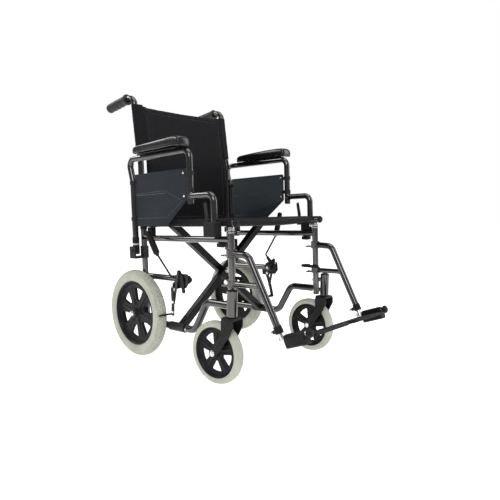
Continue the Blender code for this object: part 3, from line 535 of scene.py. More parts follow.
def plate(name, outlines, low, high, ease=0.0006, where=acrossX):
    # a flat shape with holes and eased rims, from low to high along its depth
    curve = bpy.data.curves.new(name, "CURVE")
    curve.dimensions = "2D"
    curve.fill_mode = "BOTH"
    curve.extrude = abs(high - low) / 2 - ease
    curve.bevel_depth = ease
    curve.bevel_resolution = 2
    curve.offset = -ease
    for outline in outlines:
        spline = curve.splines.new("POLY")
        spline.points.add(len(outline) - 1)
        spline.use_cyclic_u = True
        for spot, point in zip(spline.points, outline):
            spot.co = (point[0], point[1], 0.0, 1.0)
    obj = newPiece(name, curve)
    obj.matrix_world = where @ Matrix.Translation((0, 0, (low + high) / 2))
    return settled(obj)


def easedBox(name, low, high, ease, segments=4, where=None):
    low, high = ([min(a, b) for a, b in zip(low, high)], [max(a, b) for a, b in zip(low, high)])
    low, high = Vector(low), Vector(high)
    mesh = bpy.data.meshes.new(name)
    bm = bmesh.new()
    bmesh.ops.create_cube(bm, size=1.0)
    bmesh.ops.scale(bm, verts=bm.verts, vec=high - low)
    bmesh.ops.translate(bm, verts=bm.verts, vec=(low + high) / 2)
    bmesh.ops.bevel(bm, geom=list(bm.edges), offset=ease, segments=segments, affect="EDGES", profile=0.5)
    bm.to_mesh(mesh)
    bm.free()
    obj = newPiece(name, mesh)
    if where is not None:
        obj.data.transform(where)
    return obj


def hexHead(name, at, axis, width, height):
    # a hexagon nut or bolt head with chamfered corners on a thin round washer
    steps, flat = 6, width / 2 / math.cos(math.pi / 6)
    obj = lathe(name, [(0, height), (flat * 0.86, height), (flat, height * 0.80), (flat, 0), (0, 0)],
                at, axis, steps)
    washer = lathe(name + "Washer", [(0, 0.0008), (flat * 1.22, 0.0008), (flat * 1.28, 0.0004),
                                     (flat * 1.28, 0), (0, 0)], at, axis, 24)
    return merged(name, [obj, washer])


def roundHead(name, at, axis, radius, height):
    # a domed screw head; the socket in its middle is a small hexagonal well
    well = radius * 0.42
    profile = [(0, height * 0.45), (well, height * 0.45), (well, height), (radius * 0.62, height * 0.93),
               (radius * 0.88, height * 0.62), (radius, height * 0.15), (radius, 0), (0, 0)]
    return lathe(name, profile, at, axis, 24)


def saddleWeld(name, at, along, postAxis, postR, tubeR, bead=0.0014):
    # the bead where a tube meets a post: it follows the curve in which the two cylinders cross
    at, along, postAxis = Vector(at), Vector(along).normalized(), Vector(postAxis).normalized()
    aside = along.cross(postAxis).normalized()
    up = aside.cross(along)
    reach = tubeR + bead * 0.4
    route = []
    for k in range(48):
        angle = 2 * math.pi * k / 48
        s = reach * math.cos(angle)
        out = math.sqrt(max(postR ** 2 - s ** 2, 0.0)) + bead * 0.3
        route.append(at + along * out + aside * s + up * reach * math.sin(angle))
    ripples = 30

    def ripple(distance, angle):
        return bead * (1 + 0.16 * math.sin(distance / (2 * math.pi * reach) * ripples * 2 * math.pi))
    return sweep(name, route, ripple, 8, closed=True)


def stitchRow(name, points, normals, pitch=0.0036, length=0.0026, thick=0.00042):
    # short thread capsules laid along a line on a surface
    pieces = []
    travelled, nextAt = 0.0, pitch / 2
    for i in range(len(points) - 1):
        a, b = Vector(points[i]), Vector(points[i + 1])
        span = (b - a).length
        while nextAt <= travelled + span:
            share = (nextAt - travelled) / span
            spot = a.lerp(b, share)
            out = Vector(normals[i]).lerp(Vector(normals[i + 1]), share).normalized()
            ahead = (b - a).normalized() * length / 2
            route = [spot - ahead - out * thick * 0.4, spot - ahead * 0.6 + out * thick * 0.7,
                     spot + ahead * 0.6 + out * thick * 0.7, spot + ahead - out * thick * 0.4]
            pieces.append(sweep("stitch", route, thick, 5))
            nextAt += pitch
        travelled += span
    return merged(name, pieces)


def puffed(obj, puff):
    # a short cloth run under pressure swells the closed shape; the cap holds each point near its start
    if "voxel" in puff:
        remesh = obj.modifiers.new("even", "REMESH")
        remesh.mode = "VOXEL"
        remesh.voxel_size = puff["voxel"]
        smooth = obj.modifiers.new("smooth", "SMOOTH")
        smooth.factor = 0.5
        smooth.iterations = 8
        obj = settled(obj)
    start = [v.co.copy() for v in obj.data.vertices]
    cloth = obj.modifiers.new("swell", "CLOTH")
    cloth.settings.quality = 5
    cloth.settings.mass = 0.2
    cloth.settings.tension_stiffness = puff["stiff"]
    cloth.settings.compression_stiffness = puff["stiff"]
    cloth.settings.bending_stiffness = 0.3
    cloth.settings.use_pressure = True
    cloth.settings.uniform_pressure_force = puff["pressure"]
    cloth.settings.effector_weights.gravity = 0
    scene = bpy.context.scene
    for step in range(1, puff["frames"] + 1):
        scene.frame_set(step)
    obj = settled(obj)
    scene.frame_set(1)
    for vert, was in zip(obj.data.vertices, start):
        moved = vert.co - was
        if moved.length > puff["cap"]:
            vert.co = was + moved.normalized() * puff["cap"]
    finer = obj.modifiers.new("finer", "SUBSURF")
    finer.levels = finer.render_levels = 1
    return settled(obj)


# ---------- side frames and push handles
sideFrame = dict(
    postR=0.0110, railR=0.0107, lowerR=0.0125,
    lowerZ=0.121, upperZ=0.4285, stubZ=0.290, stubEnd=-0.245,
    rearTop=0.470, frontFoot=0.204, frontTop=0.4625,
    dropLowY=-0.272, dropHighY=-0.338, dropHighZ=0.2235, dropBend=0.040,
    casterX=0.243, casterY=-0.4756, housingLow=0.196, housingTop=0.275, housingR=0.0165,
    spacerHeights=(0.218, 0.256),
)


def makeSideFrame(side, tag):
    s = sideFrame
    body = f"{tag}_frame"
    x = side * halfWidth
    # the CAD tubes' own ends, drawn finer
    lowerRoute = roundedRoute([(x, 0.016, s["lowerZ"]), (x, s["dropLowY"], s["lowerZ"]),
                               (x, s["dropHighY"], s["dropHighZ"]), (x, postY, s["dropHighZ"])],
                              s["dropBend"], 12)
    tubes = [
        sweep("rearPost", [(x, 0, s["lowerZ"]), (x, 0, s["rearTop"])], s["postR"]),
        sweep("frontPost", [(x, postY, s["frontFoot"]), (x, postY, s["frontTop"])], s["postR"]),
        sweep("upperRail", [(x, 0, s["upperZ"]), (x, postY, s["upperZ"])], s["railR"]),
        sweep("lowerRail", lowerRoute, s["lowerR"]),
        sweep("brakeStub", [(x, 0, s["stubZ"]), (x, s["stubEnd"], s["stubZ"])], s["railR"]),
    ]
    plumb = Vector((0, -math.sin(math.radians(chassis["rake"])), math.cos(math.radians(chassis["rake"]))))
    foot = Vector((side * s["casterX"], s["casterY"], s["housingLow"]))
    rise = s["housingTop"] - s["housingLow"]
    r = s["housingR"]
    housing = lathe("casterHousing", [(0, rise), (r * 0.55, rise), (r - 0.0012, rise), (r, rise - 0.0012),
                                      (r, 0.0012), (r - 0.0012, 0), (0.0085, 0), (0.0085, rise - 0.014),
                                      (0, rise - 0.014)], foot, plumb, 40)
    tubes.append(housing)
    for height in s["spacerHeights"]:
        outer = foot + plumb * (height - s["housingLow"])
        tubes.append(sweep("spacer", [(x, postY, height), outer], 0.0078, 20))
    welds = [
        saddleWeld("weldUpper", (x, 0, s["upperZ"]), (0, -1, 0), (0, 0, 1), s["postR"], s["railR"]),
        saddleWeld("weldStub", (x, 0, s["stubZ"]), (0, -1, 0), (0, 0, 1), s["postR"], s["railR"]),
        saddleWeld("weldFront", (x, postY, s["upperZ"]), (0, 1, 0), (0, 0, 1), s["postR"], s["railR"]),
        saddleWeld("weldDrop", (x, postY, s["dropHighZ"]), (0, 1, 0), (0, 0, 1), s["postR"], 0.0108),
        saddleWeld("weldLow", (x, 0, s["lowerZ"]), (0, 0, 1), (0, 1, 0), s["lowerR"], s["postR"]),
    ]
    fitted(merged(f"frameTubes_{tag}", tubes + welds), "lacquer", body, f"side_frame_{tag}")

    # plastic ends: the brake tube's plug, the lower rail's rear plug, and the housing's dust cap
    plugs = [
        lathe("stubPlug", [(0, -0.012), (0.0060, -0.0116), (0.0092, -0.0100), (0.0106, -0.0070),
                           (0.0108, 0.0005), (0.0104, 0.0018), (0, 0.0018)],
              (x, s["stubEnd"], s["stubZ"]), (0, 1, 0), 32),
        lathe("railPlug", [(0, 0.0008), (0.0100, 0.0006), (0.0122, 0.0), (0.0122, -0.001), (0, -0.001)],
              (x, 0.016, s["lowerZ"]), (0, 1, 0), 32),
        lathe("dustCap", [(0, 0.0040), (0.0075, 0.0038), (0.0125, 0.0024), (0.0150, 0.0008), (0.0150, -0.001),
                          (0, -0.001)], foot + plumb * rise, plumb, 32),
        lathe("postPlug", [(0, -0.0030), (0.0080, -0.0028), (0.0102, -0.0012), (0.0104, 0.001), (0, 0.001)],
              (x, postY, s["frontFoot"]), (0, 0, 1), 32),
    ]
    fitted(merged(f"framePlugs_{tag}", plugs), "plastic", body)

    # the seat rail rests in a bright cup on the front post and in a moulded cradle at the back
    cupTop = seatZ - sideFrame["postR"] - 0.0003
    cup = lathe("postCup", [(0, cupTop - 0.4600), (0.0098, cupTop - 0.4600), (0.0117, cupTop - 0.4608),
                            (0.0122, 0.0045), (0.0122, -0.0030), (0.0114, -0.0040), (0, -0.0040)],
                (x, postY, 0.4600), (0, 0, 1), 40)
    neck = lathe("cupNeck", [(0.0113, -0.0075), (0.0120, -0.0080), (0.0120, -0.0115), (0.0113, -0.0120)],
                 (x, postY, 0.4600), (0, 0, 1), 40, closed=True)
    cupRest = easedBox("cupRest", (x - 0.008, postY + 0.008, s["frontTop"] - 0.010),
                       (x + 0.008, postY + 0.021, cupTop), 0.0018)
    fitted(merged(f"railCup_{tag}", [cup, neck, cupRest]), "bright", body)
    cradle = easedBox("cradle", (x - 0.0095, -0.062, s["upperZ"] + 0.008), (x + 0.0095, -0.036, cupTop), 0.0022)
    strapBand = lathe("cradleBand", [(s["railR"] + 0.0003, -0.011), (s["railR"] + 0.0022, -0.0105),
                                     (s["railR"] + 0.0022, 0.0105), (s["railR"] + 0.0003, 0.011)],
                      (x, -0.049, s["upperZ"]), (0, 1, 0), 40, closed=True)
    fitted(merged(f"railCradle_{tag}", [cradle, strapBand]), "plastic", body)

    # hardware: spacer bolts, the lower rail's bolt, and the tab under the upper rail
    bolts = []
    for height in s["spacerHeights"]:
        inner = Vector((x, postY, height))
        outer = foot + plumb * (height - s["housingLow"])
        out = (outer - inner).normalized()
        bolts.append(roundHead("spacerBolt", inner - out * s["postR"], -out, 0.0052, 0.0030))
    bolts.append(roundHead("railBolt", (x + side * s["lowerR"] * 0.985, -0.234, s["lowerZ"]), (side, 0, 0),
                           0.0046, 0.0028))
    bolts.append(hexHead("tabBolt", (x, postY + 0.040, s["upperZ"] - s["railR"] - 0.0128), (0, 0, -1),
                         0.0085, 0.0042))
    fitted(merged(f"frameBolts_{tag}", bolts), "bright", body)
    tab = easedBox("stopTab", (x - 0.0095, postY + 0.026, s["upperZ"] - s["railR"] - 0.013),
                   (x + 0.0095, postY + 0.056, s["upperZ"] - s["railR"] - 0.0002), 0.0018)
    fitted(merged(f"stopTab_{tag}", [tab]), "powder", body)


handle = dict(
    caneR=0.0110, top=0.947, leanZ=0.700, leanY=0.027, endY=0.193, endZ=0.9275, bend=0.032,
    gripStart=0.068, gripR=0.0170, fingers=4, fingerDepth=0.0022, flangeR=0.0200,
)


def makeHandle(side, tag):
    h = handle
    body = f"{tag}_frame"
    x = side * halfWidth
    corners = [(x, 0, 0.4703), (x, 0, h["leanZ"]), (x, h["leanY"], h["top"]), (x, h["endY"], h["endZ"])]
    lower = roundedRoute(corners[:3], 0.12, 8)[:-1]
    upper = roundedRoute(corners[1:], h["bend"], 14)[1:]
    along = (Vector(corners[3]) - Vector(corners[2])).normalized()
    upper[-1] = upper[-1] - along * 0.0083
    cane = sweep("cane", lower + upper, h["caneR"], 32)
    fitted(cane, "lacquer", body, f"back_cane_{tag}").name = f"pushCane_{tag}"
    # ferrule where the cane plugs into the rear post
    ferrule = lathe("ferrule", [(0.0111, -0.010), (0.0124, -0.0095), (0.0126, 0.0), (0.0124, 0.0095),
                                (0.0111, 0.010)], (x, 0, 0.4715), (0, 0, 1), 40, closed=True)
    pin = roundHead("ferrulePin", (x, 0.0120, 0.4715), (0, 1, 0), 0.0042, 0.0024)
    fitted(merged(f"caneFerrule_{tag}", [ferrule, pin]), "powder", body)

    mouth = Vector(corners[2]) + along * ((h["gripStart"] - h["leanY"]) / along.y)
    length = (h["endY"] - h["gripStart"]) / along.y
    rings = 84
    route = [mouth + along * length * i / rings for i in range(rings + 1)]

    def gripRadius(distance, angle):
        # four finger hollows underneath, a flange at the mouth, a shoulder and a rounded end
        t = distance / length
        under = max(0.0, -math.cos(angle)) ** 1.3
        wave = 0.5 - 0.5 * math.cos(2 * math.pi * h["fingers"] * (t - 0.10) / 0.80)
        inFingers = 1.0 if 0.10 < t < 0.90 else 0.0
        radius = h["gripR"] + 0.0006 * math.sin(math.pi * t)
        radius -= h["fingerDepth"] * under * wave * inFingers
        radius += 0.00035 * math.sin(angle * 16) * (0.5 + 0.5 * math.cos(angle)) * inFingers
        if t < 0.07:
            radius = h["flangeR"] - (h["flangeR"] - radius) * (t / 0.07) ** 4
        tail = max(0.0, (t - 0.955) / 0.045)
        return radius * math.sqrt(max(1 - tail ** 2, 0.04))
    grip = sweep("grip", route, gripRadius, 64)
    fitted(grip, "grip", body, f"push_grip_{tag}", sharp=60).name = f"handGrip_{tag}"


for side, tag in bothSides:
    makeSideFrame(side, tag)
    makeHandle(side, tag)
print("side frames and handles")

# ---------- wheels
rearWheel = dict(
    tyreWidth=0.048, rimR=0.1160, spokes=6, blocks=96, rows=6, treadDepth=0.0022, treadHalf=58,
    hubR=0.0190, hubHalf=0.0200, boreR=0.0073, squareness=2.0,
    phase=99, windowStart=0.0280, windowStop=0.0250, windowSlim=0.15, windowWide=0.25,
)
casterWheel = dict(
    tyreWidth=0.032, rimR=0.0830, spokes=5, blocks=0, rows=0, treadDepth=0.0, treadHalf=0,
    hubR=0.0150, hubHalf=0.0190, boreR=0.0064, squareness=2.5,
    phase=126, windowStart=0.0125, windowStop=0.0215, windowSlim=0.13, windowWide=0.28,
)


def makeTyre(name, centre, radius, w):
    # the section runs bead to bead over the crown; blocks are pressed in by moving the tread's points
    half, rimR = w["tyreWidth"] / 2, w["rimR"]
    tube = (radius - rimR) / 2 + 0.004
    power = 2 / w["squareness"]
    section = [(rimR - 0.0055, -half * 0.42), (rimR, -half * 0.60)]
    for i in range(49):
        a = math.radians(-118 + 236 * i / 48)
        c, s = math.cos(a), math.sin(a)
        section.append((radius - tube + tube * math.copysign(abs(c) ** power, c),
                        half * math.copysign(abs(s) ** power, s)))
    section += [(rimR, half * 0.60), (rimR - 0.0055, half * 0.42)]
    crown = math.radians(w["treadHalf"])
    around = w["blocks"] * 5 if w["blocks"] else 160
    verts, faces = [], []
    for i in range(around):
        turn = 2 * math.pi * i / around
        for k, (r, depth) in enumerate(section):
            dip = 0.0
            if w["blocks"]:
                a = math.radians(-118 + 236 * (k - 2) / 48)
                if abs(a) < crown:
                    row = (a + crown) / (2 * crown) * w["rows"]
                    offset = 0.5 * (int(row) % 2)
                    inBlock = (turn / (2 * math.pi) * w["blocks"] + offset) % 1.0
                    groove = inBlock < 0.30 or min(row % 1.0, 1 - row % 1.0) < 0.11
                    dip = w["treadDepth"] if groove else 0.0
            r -= dip
            verts.append(Vector((centre.x + depth, centre.y + r * math.cos(turn), centre.z + r * math.sin(turn))))
    count = len(section)
    for i in range(around):
        j = (i + 1) % around
        for k in range(count):
            n = (k + 1) % count
            faces.append((i * count + k, i * count + n, j * count + n, j * count + k))
    return meshPiece(name, verts, faces)


def windowOf(centre, inner, outer, middle, slim, wide, lean=0.0):
    # a spoke window: an arc outside, narrowing to a soft point near the hub
    def at(r, a):
        return (centre.y + r * math.cos(a), centre.z + r * math.sin(a))
    arc = [at(outer, middle - wide + 2 * wide * i / 6) for i in range(7)]
    ends = [at(inner, middle + slim + lean), at(inner, middle - slim + lean)]
    return softCorners(arc + ends, 0.0042, 4)


def makeRim(name, centre, w, side):
    half, rimR = w["tyreWidth"] / 2, w["rimR"]
    out = Vector((side, 0, 0))
    seat = rimR - 0.0060
    edge = half * 0.62 + 0.0040
    # the channel that holds the tyre: two flanges, a well, and an inner skirt
    channel = [(rimR - 0.0010, edge - 0.0008), (rimR - 0.0004, edge - 0.0022), (rimR - 0.0011, half * 0.62 + 0.0006),
               (seat - 0.0007, half * 0.42), (seat - 0.0007, -half * 0.42), (rimR - 0.0011, -half * 0.62 - 0.0006),
               (rimR - 0.0004, -edge + 0.0022), (rimR - 0.0010, -edge + 0.0008), (rimR - 0.0024, -edge),
               (rimR - 0.0052, -edge + 0.0004), (rimR - 0.0066, -edge + 0.0022), (rimR - 0.0105, -half * 0.34),
               (rimR - 0.0200, -half * 0.26), (rimR - 0.0215, 0), (rimR - 0.0200, half * 0.26),
               (rimR - 0.0105, half * 0.34), (rimR - 0.0066, edge - 0.0022), (rimR - 0.0052, edge - 0.0004),
               (rimR - 0.0024, edge)]
    pieces = [lathe("channel", channel, centre, out, 96, closed=True)]
    step = 2 * math.pi / w["spokes"]
    windows = []
    inner, outer = w["hubR"] + w["windowStart"], rimR - w["windowStop"]
    for i in range(w["spokes"]):
        middle = step * i + math.radians(w["phase"])
        windows.append(windowOf(centre, inner, outer, middle, w["windowSlim"] * step, w["windowWide"] * step))
    disc = plate("disc", [ringOf((centre.y, centre.z), rimR - 0.0150, 96), *windows, ringOf((centre.y, centre.z), w["boreR"], 24)],
                 centre.x - half * 0.23, centre.x + half * 0.23, 0.0014)
    pieces.append(disc)
    for i in range(w["spokes"]):
        # a raised web down the middle of each spoke, tall at the hub and low at the rim
        a = step * (i + 0.5) + math.radians(w["phase"])
        ahead = Vector((0, math.cos(a), math.sin(a)))
        aside = Vector((0, -math.sin(a), math.cos(a)))
        for face in (-1, 1):
            base = half * 0.21
            tall, low = base + 0.0052, base + 0.0022
            near, far = w["hubR"] - 0.002, rimR - 0.0175
            wide, slim = 0.0032, 0.0024
            verts = []
            for r, height, thick in ((near, tall, wide), (far, low, slim)):
                for up, across in ((base - 0.001, 1.35), (height - 0.001, 1.0), (height, 0.62),
                                   (height, -0.62), (height - 0.001, -1.0), (base - 0.001, -1.35)):
                    verts.append(centre + ahead * r + aside * thick * across + Vector((face * up, 0, 0)))
            faces = [(k, (k + 1) % 6, (k + 1) % 6 + 6, k + 6) for k in range(6)]
            faces += [(5, 4, 3, 2, 1, 0), (6, 7, 8, 9, 10, 11)]
            pieces.append(meshPiece("web", verts, faces))
        # short gussets between the spokes tie the skirt to the disc
        for offset in (0.36, 0.64):
            b = a + step * offset
            ahead, aside = Vector((0, math.cos(b), math.sin(b))), Vector((0, -math.sin(b), math.cos(b)))
            verts = []
            for r, height in ((rimR - 0.0165, half * 0.24), (rimR - 0.0085, half * 0.42)):
                for face, across in ((-1, -1), (-1, 1), (1, 1), (1, -1)):
                    verts.append(centre + ahead * r + aside * 0.0011 * across + Vector((face * height, 0, 0)))
            faces = [(0, 1, 2, 3), (7, 6, 5, 4), (0, 4, 5, 1), (1, 5, 6, 2), (2, 6, 7, 3), (3, 7, 4, 0)]
            pieces.append(meshPiece("gusset", verts, faces))
    hubR, hubHalf = w["hubR"], w["hubHalf"]
    boss = [(w["boreR"], hubHalf), (hubR * 0.72, hubHalf), (hubR * 0.80, hubHalf - 0.0012),
            (hubR * 0.86, hubHalf - 0.0060), (hubR * 0.98, half * 0.50), (hubR + 0.0075, half * 0.30),
            (hubR + 0.0095, half * 0.20), (hubR + 0.0095, -half * 0.20), (hubR + 0.0075, -half * 0.30),
            (hubR * 0.98, -half * 0.50), (hubR * 0.86, -hubHalf + 0.0060), (hubR * 0.80, -hubHalf + 0.0012),
            (hubR * 0.72, -hubHalf), (w["boreR"], -hubHalf)]
    pieces.append(lathe("boss", boss, centre, out, 48, closed=True))
    return merged(name, pieces)


hubCap = dict(ringR=0.0178, capR=0.0112, dome=0.0046)


def makeRearWheel(side, tag):
    centre = boxMiddle(f"rear_rim_{tag}")
    low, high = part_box(f"rear_tyre_{tag}")
    radius = (high.z - low.z) / 2
    body = f"rear_wheel_{tag}"
    tyre = makeTyre(f"rearTyre_{tag}", centre, radius, rearWheel)
    fitted(tyre, "tyre", body, f"rear_tyre_{tag}", sharp=55, tip=level)
    rim = makeRim(f"rearRim_{tag}", centre, rearWheel, side)
    fitted(rim, "plastic", body, f"rear_rim_{tag}", tip=level)

    # the axle stays with the frame: a collar inside, and a bright cap in a black ring outside
    inner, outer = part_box(f"rear_axle_{tag}")
    start = min(abs(inner.x), abs(outer.x))
    end = max(abs(inner.x), abs(outer.x))
    hubIn, hubOut = abs(centre.x) - rearWheel["hubHalf"], abs(centre.x) + rearWheel["hubHalf"]
    c = hubCap
    axle = [(0, 0), (0.0098, 0), (0.0103, 0.0006), (0.0103, hubIn - start - 0.0012), (0.0098, hubIn - start - 0.0006),
            (0.0060, hubIn - start - 0.0006), (0.0060, hubOut - start + 0.0006),
            (c["capR"], hubOut - start + 0.0007), (c["capR"], end - start - c["dome"]),
            (c["capR"] * 0.90, end - start - c["dome"] * 0.45), (c["capR"] * 0.62, end - start - 0.0008),
            (c["capR"] * 0.30, end - start), (0, end - start)]
    at = Vector((side * start, centre.y, centre.z))
    fitted(lathe(f"rearAxle_{tag}", axle, at, (side, 0, 0), 40), "bright", f"{tag}_frame",
           f"rear_axle_{tag}", tip=level)
    ring = [(c["capR"] + 0.0006, hubOut - start - 0.0004), (c["ringR"] * 0.93, hubOut - start - 0.0004),
            (c["ringR"], hubOut - start - 0.0014), (c["ringR"], hubOut - start - 0.0060),
            (c["capR"] + 0.0030, hubOut - start - 0.0060), (c["capR"] + 0.0006, hubOut - start - 0.0020)]
    fitted(lathe(f"hubRing_{tag}", ring, at, (side, 0, 0), 48, closed=True), "plastic", body, tip=level)


caster = dict(
    crownDrop=0.0015, legIn=0.0205, legOut=0.0250, axleR=0.0050, stemR=0.0065,
)


def makeCaster(side, tag):
    tyreLow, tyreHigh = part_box(f"caster_tyre_{tag}")
    middle = (tyreLow + tyreHigh) / 2
    radius = (tyreHigh.z - tyreLow.z) / 2
    swivel = next(j for j in frame["joints"] if j["name"] == f"caster_{tag}_swivel")
    foot = Vector(swivel["pos_m"])
    # the wheel trails behind the stem, and the right one has turned a few degrees
    away = Vector((middle.x - foot.x, middle.y - foot.y, 0))
    turn = Matrix.Translation((foot.x, foot.y, 0)) @ Matrix.Rotation(
        math.atan2(-away.x, away.y), 4, "Z") @ Matrix.Translation((-foot.x, -foot.y, 0))
    centre = Vector((foot.x, foot.y + away.length, middle.z))
    spinBody = f"caster_wheel_{tag}"
    fitted(makeTyre(f"casterTyre_{tag}", centre, radius, casterWheel), "tyre", spinBody,
           f"caster_tyre_{tag}", sharp=55, tip=turn)
    fitted(makeRim(f"casterRim_{tag}", centre, casterWheel, side), "plastic", spinBody,
           f"caster_rim_{tag}", tip=turn)

    c = caster
    body = f"caster_{tag}"
    crown = foot.z - c["crownDrop"]
    y, r = foot.y, centre.z
    wide = away.length + 0.014
    outline = softCorners([(y - 0.0230, crown), (y + 0.0250, crown), (y + 0.0235, crown - 0.055),
                           (y + 0.0560, crown - 0.094), (y + wide, r + 0.006), (y + wide - 0.001, r - 0.008),
                           (y + wide - 0.0105, r - 0.0135), (y + 0.0460, r - 0.010), (y + 0.0300, r + 0.012),
                           (y - 0.0040, crown - 0.064), (y - 0.0235, crown - 0.028)], 0.012, 5)
    hole = ringOf((centre.y, r), c["axleR"] + 0.0006)
    legs = []
    for face in (-1, 1):
        low, high = sorted((foot.x + face * c["legIn"], foot.x + face * c["legOut"]))
        legs.append(plate("leg", [outline, hole], low, high, 0.0013))
        # a round boss for the axle and a rib down the outside of the leg
        legs.append(lathe("legBoss", [(c["axleR"] + 0.0006, 0), (0.0105, 0), (0.0118, -0.0012), (0.0118, -0.0035),
                                      (c["axleR"] + 0.0006, -0.0035)],
                          (foot.x + face * c["legOut"], centre.y, r), (face, 0, 0), 32, closed=True))
        rib = [(foot.x + face * (c["legOut"] - 0.0005), y + 0.004, crown - 0.010),
               (foot.x + face * (c["legOut"] - 0.0005), y + 0.014, crown - 0.045),
               (foot.x + face * (c["legOut"] - 0.0005), centre.y - 0.008, r + 0.012)]
        legs.append(sweep("legRib", roundedRoute(rib, 0.03, 6), 0.0016, 10))
    bridge = easedBox("bridge", (foot.x - c["legOut"], y - 0.0215, crown - 0.0075),
                      (foot.x + c["legOut"], y + 0.0235, crown), 0.0026)
    shoulder = lathe("shoulder", [(0.0064, 0.0012), (0.0128, 0.0012), (0.0150, 0.0002), (0.0165, -0.0030),
                                  (0.0064, -0.0030)], (foot.x, y, crown), (0, 0, 1), 40, closed=True)
    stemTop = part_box(f"caster_fork_{tag}")[1].z
    stem = lathe("stem", [(0, stemTop - crown), (c["stemR"] * 0.8, stemTop - crown),
                          (c["stemR"], stemTop - crown - 0.001), (c["stemR"], -0.004), (0, -0.004)],
                 (foot.x, y, crown), (0, 0, 1), 24)
    fitted(merged(f"casterFork_{tag}", legs + [bridge, shoulder, stem]), "powder", body,
           f"caster_fork_{tag}", tip=turn)
    grip = c["legOut"] + 0.0003
    rod = lathe("axleRod", [(0, grip + 0.0042), (c["axleR"] * 0.7, grip + 0.0042), (c["axleR"] * 0.9, grip + 0.0034),
                            (c["axleR"], -grip), (0, -grip)], centre, (side, 0, 0), 24)
    head = hexHead("axleHead", centre + Vector((-side * grip, 0, 0)), (-side, 0, 0), 0.0130, 0.0046)
    nut = hexHead("axleNut", centre + Vector((side * grip, 0, 0)), (side, 0, 0), 0.0130, 0.0038)
    fitted(merged(f"casterAxle_{tag}", [rod, head, nut]), "bright", body, f"caster_axle_{tag}", tip=turn)
    tubes = [lathe("spacerTube", [(c["axleR"] + 0.0006, 0.0004), (0.0080, 0.0004), (0.0080, 0.0012),
                                  (c["axleR"] + 0.0006, 0.0012)],
                   centre + Vector((face * (casterWheel["hubHalf"] - 0.0001), 0, 0)), (face, 0, 0), 24, closed=True)
             for face in (-1, 1)]
    fitted(merged(f"casterShims_{tag}", tubes), "bright", spinBody, tip=turn)


for side, tag in bothSides:
    makeRearWheel(side, tag)
    makeCaster(side, tag)
print("wheels and casters")

# ---------- armrests
armrest = dict(
    x=0.2465, z=0.7155, backY=0.012, leanY=0.034, frontY=-0.307, legEnd=0.545, tubeR=0.0110,
    stepZ=0.569, stepY=-0.415, stepEnd=0.454, railR=0.0107, hingeZ=0.385, sleeveR=0.0125,
    sleeveLow=0.371, sleeveTop=0.434,
)
padShape = dict(x=0.2595, width=0.053, front=-0.300, back=-0.036, bottom=0.7268, top=0.7640,
                puff=dict(pressure=3.0, stiff=12.0, frames=14, cap=0.0012))
sidePanel = dict(thick=0.005, top=0.659, low=0.473, stepZ=0.557, stepY=-0.176, front=-0.288, rear=0.0004)


def makeArmrest(side, tag):
    a = armrest
    body = f"armrest_{tag}"
    x = side * a["x"]
    corners = [(x, a["backY"], a["hingeZ"]), (x, a["backY"], a["z"] - 0.080), (x, a["leanY"], a["z"]),
               (x, a["frontY"], a["z"]), (x, a["frontY"], a["legEnd"])]
    neck = roundedRoute(corners[:3], 0.05, 8)[:-1]
    loop = sweep("armLoop", neck + roundedRoute(corners[1:], 0.026, 12)[1:], a["tubeR"], 32)
    stepRoute = roundedRoute([(x, a["frontY"], a["stepZ"]), (x, a["stepY"], a["stepZ"]),
                              (x, a["stepY"], a["stepEnd"])], 0.024, 12)
    step = sweep("armStep", stepRoute, a["railR"], 32)
    weld = saddleWeld("armWeld", (x, a["frontY"], a["stepZ"]), (0, -1, 0), (0, 0, 1), a["tubeR"], a["railR"])
    fitted(merged(f"armTubes_{tag}", [loop, step, weld]), "lacquer", body, f"armrest_frame_{tag}")

    # the foot sleeve that turns on the hinge pin, and the bright ring above it
    r = a["sleeveR"]
    sleeve = lathe("armSleeve", [(0, a["sleeveTop"]), (r - 0.0012, a["sleeveTop"]), (r, a["sleeveTop"] - 0.0012),
                                 (r, 0.4125), (r - 0.0008, 0.4117), (r - 0.0008, 0.4043), (r, 0.4035),
                                 (r, a["sleeveLow"] + 0.0012), (r - 0.0012, a["sleeveLow"]), (0, a["sleeveLow"])],
                   (x, a["backY"], 0), (0, 0, 1), 40)
    plugs = lathe("legPlug", [(0, -0.0035), (0.0080, -0.0033), (0.0104, -0.0018), (0.0108, 0.001), (0, 0.001)],
                  (x, a["frontY"], a["legEnd"]), (0, 0, 1), 32)
    fitted(merged(f"armSleeve_{tag}", [sleeve, plugs]), "plastic", body)
    ring = lathe("armRing", [(r - 0.0006, 0.4045), (r + 0.0004, 0.4049), (r + 0.0004, 0.4111), (r - 0.0006, 0.4115)],
                 (x, a["backY"], 0), (0, 0, 1), 40, closed=True)
    fitted(ring, "bright", body).name = f"armRing_{tag}"

    makePanel(side, tag)
    makePad(side, tag)


